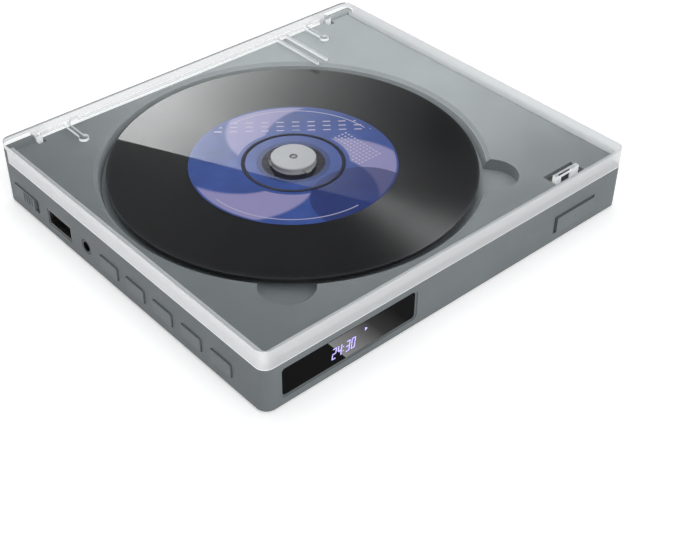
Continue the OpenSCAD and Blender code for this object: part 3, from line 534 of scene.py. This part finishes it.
def label_print(name):
    """A made-up label: blue ground, lilac fans, pale bars and a block of small squares."""
    tint = colours()
    material, tree, out = blank(name)
    flat, radius = polar(tree, DISC_MID)
    x, y = split_axes(tree, flat)[:2]
    angle = sums(tree, "ARCTAN2", y, x)
    shader = principled(tree, out, 0.4, level=0.2, coat=1.0, coat_rough=0.005)
    shader.inputs["Coat IOR"].default_value = 1.5
    cloud = noise(tree, flat, 70, 3, 0.6)
    pale_blue = shade(tint.label_blue, 1.35)
    colour = blend_colours(tree, levels(tree, cloud, 0.35, 0.65), tint.label_blue, pale_blue)
    layers = [
        (sums(tree, "MULTIPLY", label_fans(tree, angle, radius), 0.85), tint.label_lilac),
        (label_moon(tree, flat), tint.label_dark),
        (label_bars(tree, x, y, radius), tint.label_pale),
        (label_cells(tree, x, y, radius), tint.label_pale),
        (label_arcs(tree, angle, radius), tint.label_pale),
        (levels(tree, radius, 12.2 * MM, 11.8 * MM), shade(tint.label_blue, 0.7)),
    ]
    for share, ink in layers:
        colour = blend_colours(tree, share, colour, ink)
    tree.links.new(colour, shader.inputs["Base Color"])
    bump(tree, shader, noise(tree, flat, 2200, 1), 0.05)
    return material


def tinted_window(name):
    """Dark polished window with a faint smoky print."""
    material, tree, out = blank(name)
    shader = principled(tree, out, 0.03, level=0.03)
    smoke = noise(tree, place_of(tree), 30, 2)
    tree.links.new(blend_colours(tree, smoke, linear(1, 1, 1), linear(4, 4, 5)), shader.inputs["Base Color"])
    tree.links.new(levels(tree, smoke, 0.3, 0.7, 0.02, 0.04), shader.inputs["Roughness"])
    return material


def glow(name, colour, power):
    """Light that comes out of a digit."""
    material, tree, out = blank(name)
    shader = principled(tree, out, 0.4)
    flicker = noise(tree, place_of(tree), 900, 1)
    shader.inputs["Base Color"].default_value = (*tuple(colour)[:3], 1)
    tree.links.new(blend_colours(tree, flicker, shade(colour, 0.85), colour), shader.inputs["Emission Color"])
    shader.inputs["Emission Strength"].default_value = power
    return material


def lens_coat(name):
    """Small coated lens with a blue cast."""
    material, tree, out = blank(name)
    shader = principled(tree, out, 0.05, coat=1.0)
    facing = add(tree, "ShaderNodeLayerWeight")
    facing.inputs["Blend"].default_value = 0.4
    cast = blend_colours(tree, facing.outputs["Facing"], linear(40, 60, 120), linear(150, 120, 190))
    tree.links.new(cast, shader.inputs["Base Color"])
    return material


def give(material, *names):
    """Puts a material on nodes of the part."""
    for name in names:
        mesh = NODES[name].data
        mesh.materials.clear()
        mesh.materials.append(material)


def soften(name, width, segments=2):
    """Rounds the sharp edges of a node with a modifier."""
    rounded = NODES[name].modifiers.new("soft edges", "BEVEL")
    rounded.width = width
    rounded.segments = segments
    rounded.limit_method = "ANGLE"
    rounded.angle_limit = math.radians(40)
    rounded.harden_normals = False
    rounded.use_clamp_overlap = True


# Meshes


def new_piece(name, mesh_builder, material, body):
    """A mesh object that rides on a body and takes its finish from a slot."""
    mesh = bpy.data.meshes.new(name)
    form = bmesh.new()
    mesh_builder(form)
    bmesh.ops.recalc_face_normals(form, faces=form.faces)
    form.to_mesh(mesh)
    form.free()
    mesh.materials.append(material)
    piece = bpy.data.objects.new(name, mesh)
    bpy.context.collection.objects.link(piece)
    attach(piece, body)
    return piece


def block(form, low, high, turn=None):
    """A rectangular block between two corners."""
    low, high = Vector(low), Vector(high)
    matrix = Matrix.Translation((low + high) / 2) @ Matrix.Diagonal((*(high - low), 1))
    if turn is not None:
        matrix = turn @ matrix
    bmesh.ops.create_cube(form, size=1, matrix=matrix)


def rim(form, centre, profile, steps=128, axis="Z"):
    """A turned ring from a closed profile of (radius, height) points."""
    loops = []
    for step in range(steps):
        angle = 2 * math.pi * step / steps
        loop = []
        for radius, height in profile:
            if axis == "Z":
                offset = Vector((radius * math.cos(angle), radius * math.sin(angle), height))
            else:
                offset = Vector((height, radius * math.cos(angle), radius * math.sin(angle)))
            loop.append(form.verts.new(Vector(centre) + offset))
        loops.append(loop)
    count = len(profile)
    for step in range(steps):
        here, there = loops[step], loops[(step + 1) % steps]
        for index in range(count):
            after = (index + 1) % count
            form.faces.new((here[index], there[index], there[after], here[after]))


def smooth(piece):
    """Shades a piece's faces as one smooth surface."""
    for face in piece.data.polygons:
        face.use_smooth = True


# Operators


class PLAYER_OT_case(Operator):
    """Finish the moulded case, its bottom cover and the parts that close it"""

    bl_idname = "player.case"
    bl_label = "Case"

    def execute(self, context):
        tint = colours()
        give(moulded("case_grey", tint.case_grey, 0.52, 0.35, 0.3), "top_shell")
        give(moulded("base_grey", tint.base_grey, 0.6, 0.3, 0.35), "bottom_cover")
        rubber = moulded("foot_rubber", linear(30, 30, 31), 0.8, 0.25, 0.5, 0.12)
        give(rubber, "rubber_feet", "damper_grommets")
        give(metal("black_screw", linear(60, 60, 62), 0.35), "case_screws")
        bright = metal("bright_screw", linear(196, 196, 198), 0.28)
        give(bright, "board_screws", "drive_screws", "catch_screws")
        return {"FINISHED"}


class PLAYER_OT_lid(Operator):
    """Finish the clear lid and its hinge pins"""

    bl_idname = "player.lid"
    bl_label = "Lid"

    def execute(self, context):
        give(clear_plastic("clear_lid"), "lid")
        soften("lid", sizes().lid_edge, 3)
        give(metal("hinge_steel", linear(205, 205, 208), 0.22, (12, 1, 1)), "hinge_pins")
        return {"FINISHED"}


class PLAYER_OT_disc(Operator):
    """Finish the disc, print its label and add its dark rings"""

    bl_idname = "player.disc"
    bl_label = "Disc"

    def execute(self, context):
        size = sizes()
        give(disc_face("disc_face"), "disc")
        centre = (DISC_MID.x, DISC_MID.y, DISC_TOP.z)

        def flat_ring(form, inner, outer, low, high):
            rim(form, centre, [(inner, low), (outer, low), (outer, high), (inner, high)], 160)

        def label(form):
            flat_ring(form, size.label_inner, size.label_outer, 0.002 * MM, 0.02 * MM)

        def hole_band(form):
            flat_ring(form, 7.55 * MM, size.label_inner, 0.002 * MM, 0.012 * MM)

        def ring(form):
            outer, inner = size.ring_radius, size.ring_radius - size.ring_width
            foot, side, top, slope = 0.015 * MM, 0.05 * MM, 0.09 * MM, 0.2 * MM
            rim(form, centre, [(inner, foot), (outer, foot), (outer, side), (outer - slope, top),
                               (inner + slope, top), (inner, side)], 128)

        dark = moulded("ring_dark", linear(40, 42, 62), 0.35, 0.4, 0.05)
        band_dark = moulded("hole_band", linear(34, 36, 50), 0.22, 0.5, 0.05)
        new_piece("disc_label", label, label_print("label_print"), "spindle")
        smooth(new_piece("label_ring", ring, dark, "spindle"))
        new_piece("hole_band", hole_band, band_dark, "spindle")
        return {"FINISHED"}


class PLAYER_OT_spindle(Operator):
    """Finish the spindle cap and its jaws, and add the cap's eye"""

    bl_idname = "player.spindle"
    bl_label = "Spindle"

    def execute(self, context):
        hub = moulded("hub_grey", colours().hub_grey, 0.38, 0.45, 0.12)
        skin = next(node for node in hub.node_tree.nodes if node.type == "BSDF_PRINCIPLED")
        skin.inputs["Coat Weight"].default_value = 1.0
        skin.inputs["Coat Roughness"].default_value = 0.04
        give(hub, "spindle_hub")
        give(moulded("jaw_plastic", linear(206, 206, 200), 0.4, 0.45, 0.15), "clamp_jaws")
        cap_top = box_of("spindle_hub")[1].z

        def eye(form):
            centre = (DISC_MID.x, DISC_MID.y, cap_top - 0.3 * MM)
            profile = [(0.75, 0.05), (1.25, 0.05), (1.3, 0.33), (1.15, 0.4), (0.85, 0.4)]
            rim(form, centre, [(radius * MM, height * MM) for radius, height in profile], 48)

        steel = metal("hub_eye", linear(210, 210, 212), 0.3)
        smooth(new_piece("hub_eye", eye, steel, "spindle"))
        return {"FINISHED"}


class PLAYER_OT_display(Operator):
    """Finish the display window and light its digits"""

    bl_idname = "player.display"
    bl_label = "Display"

    def execute(self, context):
        size, tint = sizes(), colours()
        give(tinted_window("window_tint"), "display_window")
        soften("display_window", 0.12 * MM)
        lit = glow("digit_light", tint.digit_glow, tint.digit_power)
        deep = 0.03 * MM
        face = WINDOW_LOW.y - 0.02 * MM
        # Width, height and stroke width
        w, h, t = size.digit_width, size.digit_height, size.stroke
        pitch = 2.05 * MM
        colon_gap = 1.0 * MM
        start = Vector((-51.3 * MM, 0, WINDOW_MID.z - h / 2 - 0.6 * MM))
        lean = Matrix.Identity(4)
        lean[0][2] = 0.12
        # The seven strokes of a digit, each from one corner to the other
        strokes = {
            "a": ((0.1 * w, h - t), (0.9 * w, h)),
            "b": ((w - t, h / 2 + 0.2 * t), (w, h - 0.3 * t)),
            "c": ((w - t, 0.3 * t), (w, h / 2 - 0.2 * t)),
            "d": ((0.1 * w, 0), (0.9 * w, t)),
            "e": ((0, 0.3 * t), (t, h / 2 - 0.2 * t)),
            "f": ((0, h / 2 + 0.2 * t), (t, h - 0.3 * t)),
            "g": ((0.1 * w, (h - t) / 2), (0.9 * w, (h + t) / 2)),
        }

        def slab(form, offset, low, high):
            turn = Matrix.Translation(start + Vector((offset, 0, 0))) @ lean
            block(form, (low[0], face, low[1]), (high[0], face + deep, high[1]), turn)

        def digits(form):
            for index, (_, letters) in enumerate(DIGITS):
                offset = index * pitch + (colon_gap if index > 1 else 0)
                for letter in letters:
                    slab(form, offset, *strokes[letter])
            for height in (0.3 * h, 0.68 * h):
                slab(form, 2 * pitch - 0.1 * MM, (0, height - t / 2), (t, height + t / 2))

        def mark(form):
            x, z, r = -38.3 * MM, WINDOW_MID.z + 1.9 * MM, 0.75 * MM
            corners = [(x - 0.6 * r, z - 0.9 * r), (x - 0.6 * r, z + 0.9 * r), (x + 0.8 * r, z)]
            front = [form.verts.new((cx, face, cz)) for cx, cz in corners]
            back = [form.verts.new((cx, face + deep, cz)) for cx, cz in corners]
            form.faces.new(front)
            form.faces.new(back[::-1])
            for i in range(3):
                form.faces.new((front[i], back[i], back[(i + 1) % 3], front[(i + 1) % 3]))

        new_piece("display_digits", digits, lit, "case")
        new_piece("display_mark", mark, lit, "case")
        give(moulded("digit_wells", linear(38, 38, 40), 0.6), "display_module")
        give(moulded("sensor_black", linear(16, 16, 20), 0.15, 0.5, 0.02), "remote_receiver")
        return {"FINISHED"}


class PLAYER_OT_controls(Operator):
    """Finish the buttons and the slider, and put a copy of the catch spring in its place"""

    bl_idname = "player.controls"
    bl_label = "Controls"

    def execute(self, context):
        names = ["open_button", "power_slider"] + [f"side_button_{i}" for i in range(1, 6)]
        give(moulded("control_grey", shade(colours().case_grey, 0.97), 0.45, 0.42, 0.22), *names)
        for name in names:
            soften(name, sizes().soft_edge)
        button_face = box_of("open_button")[0].y

        def dot(form):
            place = Matrix.Translation((53.1 * MM, button_face + 0.3 * MM, BASE + 5.8 * MM))
            turn = place @ Matrix.Rotation(math.radians(90), 4, "X")
            bmesh.ops.create_cone(form, cap_ends=True, segments=32, radius1=0.38 * MM,
                                  radius2=0.3 * MM, depth=0.5 * MM, matrix=turn)

        def coil(form):
            form.from_mesh(NODES["catch_spring"].data)
            form.transform(NODES["catch_spring"].matrix_world)

        pale = moulded("dot_grey", linear(196, 200, 202), 0.4)
        new_piece("open_button_dot", dot, pale, "open_latch")
        steel = metal("spring_steel", linear(200, 200, 204), 0.2, (1, 12, 1))
        spring = new_piece("catch_coil", coil, steel, "case")
        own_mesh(spring)
        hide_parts("catch_spring")
        return {"FINISHED"}


class PLAYER_OT_sockets(Operator):
    """Finish the sockets, and add the contacts and the headphone ring"""

    bl_idname = "player.sockets"
    bl_label = "Sockets"

    def execute(self, context):
        give(metal("socket_steel", linear(188, 188, 190), 0.3, (12, 1, 1)), "usb_shell", "charge_socket")
        give(moulded("socket_black", linear(18, 18, 20), 0.45), "usb_tongue", "headphone_jack")
        gold = metal("contact_gold", linear(214, 180, 110), 0.25, (12, 1, 1))
        low, _, mid = box_of("usb_tongue")
        tongue_top = BASE + 6.3 * MM
        jack_low, _, jack_mid = box_of("headphone_jack")

        def fingers(form):
            for index in range(4):
                y = mid.y + (index - 1.5) * 2.3 * MM
                near = (low.x + 0.6 * MM, y - 0.5 * MM, tongue_top - 0.12 * MM)
                far = (low.x + 8 * MM, y + 0.5 * MM, tongue_top + 0.05 * MM)
                block(form, near, far)

        def ring(form):
            centre = (jack_low.x, jack_mid.y, BASE + 6.7 * MM)
            profile = [(1.78, 0.05), (2.35, 0.05), (2.35, -0.04), (2.2, -0.1), (1.9, -0.1), (1.78, -0.04)]
            rim(form, centre, [(radius * MM, height * MM) for radius, height in profile], 64, "X")

        new_piece("usb_contacts", fingers, gold, "case")
        dull = metal("jack_ring", linear(92, 94, 96), 0.35)
        smooth(new_piece("jack_ring", ring, dull, "case"))
        return {"FINISHED"}


class PLAYER_OT_electronics(Operator):
    """Finish the boards, switches, battery and cables"""

    bl_idname = "player.electronics"
    bl_label = "Electronics"

    def execute(self, context):
        tint = colours()
        give(circuit("board_mask", tint.board_green), "main_board", "display_board", "charge_board")
        give(moulded("chip_black", linear(28, 28, 30), 0.5), "control_chips", "button_switches", "lid_switch")
        give(metal("switch_can", linear(180, 180, 182), 0.35), "slide_switch")
        give(moulded("battery_wrap", linear(86, 88, 122), 0.3, 0.5, 0.08, 0.1), "battery_pack")
        give(moulded("lead_red", linear(168, 30, 30), 0.4), "battery_leads")
        give(moulded("ribbon_film", linear(214, 206, 178), 0.35), "ribbon_cable")
        return {"FINISHED"}


class PLAYER_OT_drive(Operator):
    """Finish the drive: frame, motors, gears, rods and pickup"""

    bl_idname = "player.drive"
    bl_label = "Drive"

    def execute(self, context):
        give(moulded("drive_black", linear(58, 59, 62), 0.5), "drive_frame", "pickup_sled", "lens_holder")
        give(metal("motor_can", linear(186, 186, 188), 0.3), "spindle_motor", "feed_motor")
        drawn = metal("drawn_steel", linear(210, 210, 212), 0.18, (1, 12, 12))
        give(drawn, "guide_rods", "gear_axle", "spindle_shaft", "feed_shaft")
        white = moulded("gear_white", linear(226, 224, 212), 0.4)
        give(white, "feed_gear", "feed_pinion", "sled_rack", "catch_slide")
        give(lens_coat("lens_coat"), "objective_lens")
        return {"FINISHED"}


def placed(x, y, z, place):
    """A matrix from three axes and a place."""
    return Matrix(((*x, 0), (*y, 0), (*z, 0), (*place, 1))).transposed()


class PLAYER_OT_studio(Operator):
    """Set up the floor, the lights and the camera"""

    bl_idname = "player.studio"
    bl_label = "Studio"

    def floor(self):
        """A white floor just under the feet, which keeps the shadow."""
        size = sizes().floor_size
        mesh = bpy.data.meshes.new("studio_floor")
        half = size / 2
        corners = [(-half, -half, 0), (half, -half, 0), (half, half, 0), (-half, half, 0)]
        mesh.from_pydata(corners, [], [(0, 1, 2, 3)])
        floor = bpy.data.objects.new("studio_floor", mesh)
        floor.location.z = -0.2 * MM
        bpy.context.collection.objects.link(floor)
        material, tree, out = blank("floor_white")
        # The glow whitens the floor where it is seen, and lights nothing
        path = add(tree, "ShaderNodeLightPath").outputs
        seen = sums(tree, "MAXIMUM", path["Is Glossy Ray"], path["Is Transmission Ray"])
        seen = sums(tree, "MAXIMUM", path["Is Camera Ray"], seen)
        shader = principled(tree, out, 0.9, level=0.1)
        paper = blend_colours(tree, noise(tree, place_of(tree), 3), (0.9, 0.9, 0.9), (0.92, 0.92, 0.92))
        tree.links.new(paper, shader.inputs["Base Color"])
        shader.inputs["Emission Color"].default_value = (1, 1, 1, 1)
        tree.links.new(sums(tree, "MULTIPLY", seen, 0.42), shader.inputs["Emission Strength"])
        mesh.materials.append(material)

    def world(self):
        """White where it is seen, soft light elsewhere, and a horizon for mirrors."""
        world = bpy.data.worlds.new("studio_world")
        bpy.context.scene.world = world
        world.use_nodes = True
        tree = world.node_tree
        tree.nodes.clear()
        out = tree.nodes.new("ShaderNodeOutputWorld")
        path = add(tree, "ShaderNodeLightPath").outputs
        seen = sums(tree, "MAXIMUM", path["Is Camera Ray"], path["Is Transmission Ray"])
        glossy = path["Is Glossy Ray"]
        # Mirrors see a white horizon under a dimmer ceiling
        height = split_axes(tree, add(tree, "ShaderNodeTexCoord").outputs["Generated"])["Z"]
        mirrored = sums(tree, "MULTIPLY", glossy, levels(tree, height, 0.1, 0.45, 1.0, 0.01))
        soft_light = sums(tree, "MULTIPLY", inverse(tree, glossy), 0.415)
        soft = add(tree, "ShaderNodeBackground")
        soft.inputs["Color"].default_value = (0.97, 0.985, 1, 1)
        tree.links.new(sums(tree, "ADD", soft_light, mirrored), soft.inputs["Strength"])
        white = add(tree, "ShaderNodeBackground")
        white.inputs["Color"].default_value = (1, 1, 1, 1)
        white.inputs["Strength"].default_value = 1.0
        tree.links.new(mixed(tree, seen, soft.outputs[0], white.outputs[0]), out.inputs["Surface"])

    def lamp(self, name, place, aim, width, height, power, only=(), mirrored=False):
        """A soft rectangular lamp at a place, aimed at a point."""
        data = bpy.data.lights.new(name, "AREA")
        data.shape = "RECTANGLE"
        data.size, data.size_y = width, height
        data.energy = power
        lamp = bpy.data.objects.new(name, data)
        lamp.location = place
        lamp.rotation_mode = "QUATERNION"
        lamp.rotation_quaternion = (Vector(aim) - Vector(place)).to_track_quat("-Z", "Y")
        lamp.visible_camera = False
        lamp.visible_glossy = mirrored
        bpy.context.collection.objects.link(lamp)
        self.light_only(lamp, only)
        return lamp

    def light_only(self, lamp, names):
        """Keeps a lamp's light to the named pieces."""
        if names:
            chosen = bpy.data.collections.new(lamp.name + "_receivers")
            for name in names:
                chosen.objects.link(bpy.data.objects[name] if name in bpy.data.objects else NODES[name])
            lamp.light_linking.receiver_collection = chosen

    def card(self, name, corner, along, across, radiance, fade, stops, only):
        """A glowing card that only shows as a reflection, with light that fades along a line."""
        corner, along, across = Vector(corner), Vector(along), Vector(across)
        data = bpy.data.lights.new(name, "AREA")
        data.shape = "RECTANGLE"
        data.size, data.size_y = along.length, across.length
        data.energy = 4 * along.length * across.length
        data.use_nodes = True
        tree = data.node_tree
        tree.nodes.clear()
        out = tree.nodes.new("ShaderNodeOutputLight")
        start, end = Vector(fade[0]), Vector(fade[1])
        away = add(tree, "ShaderNodeVectorMath", operation="SUBTRACT")
        away.inputs[1].default_value = start
        tree.links.new(add(tree, "ShaderNodeNewGeometry").outputs["Position"], away.inputs[0])
        share = add(tree, "ShaderNodeVectorMath", operation="DOT_PRODUCT")
        share.inputs[1].default_value = (end - start) / (end - start).length_squared
        tree.links.new(away.outputs[0], share.inputs[0])
        light = add(tree, "ShaderNodeEmission")
        light.inputs["Strength"].default_value = radiance
        fading = ramp(tree, share.outputs["Value"], [(at, (v, v, v)) for at, v in stops])
        tree.links.new(fading, light.inputs["Color"])
        tree.links.new(light.outputs[0], out.inputs["Surface"])
        card = bpy.data.objects.new(name, data)
        x, y = along.normalized(), across.normalized()
        card.matrix_world = placed(x, y, x.cross(y), corner + (along + across) / 2)
        card.visible_camera = card.visible_diffuse = card.visible_transmission = False
        bpy.context.collection.objects.link(card)
        self.light_only(card, only)

    def camera(self):
        """The photo's view: turned, raised and rolled about a point at the base."""
        azimuth, elevation, roll = (math.radians(angle) for angle in (-41.94, 39.17, 0.58))
        aim, distance = Vector((-20.7, -37.09, 0.8)) * MM, 378.9 * MM
        data = bpy.data.cameras.new("photo_camera")
        data.sensor_width = 36
        data.lens = 64.914
        data.clip_start, data.clip_end = 0.01, 20
        level = math.cos(elevation)
        back = Vector((math.sin(azimuth) * level, -math.cos(azimuth) * level, math.sin(elevation)))
        right = (-back).cross(Vector((0, 0, 1))).normalized()
        up = right.cross(-back)
        x = right * math.cos(roll) + up * math.sin(roll)
        y = up * math.cos(roll) - right * math.sin(roll)
        camera = bpy.data.objects.new("photo_camera", data)
        camera.matrix_world = placed(x, y, back, aim + back * distance)
        bpy.context.collection.objects.link(camera)
        bpy.context.scene.camera = camera

    def reflections(self):
        """Cards and a lamp that show in the disc, its hub and the window."""
        glossy = ["disc", "disc_label", "label_ring", "hole_band", "spindle_hub"]
        # The card's near edge, the level way along its side, and the way in which its light fades
        start, end = Vector((0.3708, 0.9412, 0.6)), Vector((0.5994, 0.4630, 0.6))
        side = Vector((0.902, 0.431, 0)) * 0.4
        middle = Vector((0.5418, 0.6726, 0.6))
        skew = 0.25
        way = Vector((0.431 + skew * 0.902, -0.902 + skew * 0.431, 0)) / (1 + skew ** 2)
        fade = (middle - way * 0.2, middle + way * 0.17)
        stops = [(0, 1.0), (0.07, 0.92), (0.175, 0.7), (0.28, 0.5),
                 (0.47, 0.26), (0.62, 0.15), (0.77, 0.07), (1, 0.0)]
        self.card("disc_card", end, side, start - end, 5.0, fade, stops, glossy)
        disc = (DISC_MID.x, DISC_MID.y, DISC_TOP.z)
        self.lamp("fan_lamp", (0.65, -0.1, 0.75), disc, 0.25, 0.25, 32, only=["disc"], mirrored=True)
        # A card on the floor under the window's middle, brightest at its left edge
        left, right, front, deep = -43 * MM, -9 * MM, -80.2 * MM, 11.2 * MM
        fade = ((left, 0, 0), (-12 * MM, 0, 0))
        stops = [(0, 1.0), (0.25, 0.62), (0.5, 0.12), (0.8, 0.0), (1, 0.0)]
        corner, across = (left, front, 0), (right - left, 0, 0)
        self.card("window_card", corner, (0, deep, 0), across, 18, fade, stops, ["display_window"])

    def execute(self, context):
        context.scene.view_settings.view_transform = "Standard"
        self.floor()
        self.world()
        self.camera()
        self.lamp("front_lamp", (-0.25, -1.15, 0.95), (0, 0, 0), 0.9, 0.9, 7.4)
        self.lamp("top_lamp", (0.15, 0.35, 1.3), (0, 0, 0), 1.1, 1.1, 4)
        # A low warm lamp brightens the rear of the deck
        x, y, height = 54 * MM, 43 * MM, 60 * MM
        rear = self.lamp("rear_lamp", (x, y, height), (x, y, 0), 0.165, 0.17, 0.2, only=["top_shell"])
        rear.data.color = (1, 0.95, 0.94)
        self.lamp("side_lamp", (-0.6, -0.3, 0.3), (0, 0, 0), 0.4, 0.4, 1.8, only=["lid"])
        self.reflections()
        return {"FINISHED"}


class PLAYER_PT_panel(Panel):
    """Buttons and values for the disc player's looks"""

    bl_label = "Disc Player"
    bl_idname = "PLAYER_PT_panel"
    bl_space_type = "VIEW_3D"
    bl_region_type = "UI"
    bl_category = "Disc Player"

    def draw(self, context):
        layout = self.layout
        for operator in OPERATORS:
            layout.operator(operator.bl_idname)
        for group in (context.scene.player_sizes, context.scene.player_colours):
            column = layout.column()
            for key in group.__annotations__:
                column.prop(group, key)


OPERATORS = [
    PLAYER_OT_case, PLAYER_OT_lid, PLAYER_OT_disc, PLAYER_OT_spindle, PLAYER_OT_display,
    PLAYER_OT_controls, PLAYER_OT_sockets, PLAYER_OT_electronics, PLAYER_OT_drive, PLAYER_OT_studio,
]
CLASSES = [PlayerSizes, PlayerColours, *OPERATORS, PLAYER_PT_panel]


def register():
    for item in CLASSES:
        bpy.utils.register_class(item)
    bpy.types.Scene.player_sizes = PointerProperty(type=PlayerSizes)
    bpy.types.Scene.player_colours = PointerProperty(type=PlayerColours)


def unregister():
    del bpy.types.Scene.player_colours
    del bpy.types.Scene.player_sizes
    for item in reversed(CLASSES):
        bpy.utils.unregister_class(item)


def main():
    register()
    bpy.ops.player.case()
    bpy.ops.player.lid()
    bpy.ops.player.disc()
    bpy.ops.player.spindle()
    bpy.ops.player.display()
    bpy.ops.player.controls()
    bpy.ops.player.sockets()
    bpy.ops.player.electronics()
    bpy.ops.player.drive()
    bpy.ops.player.studio()


if __name__ == "__main__":
    main()
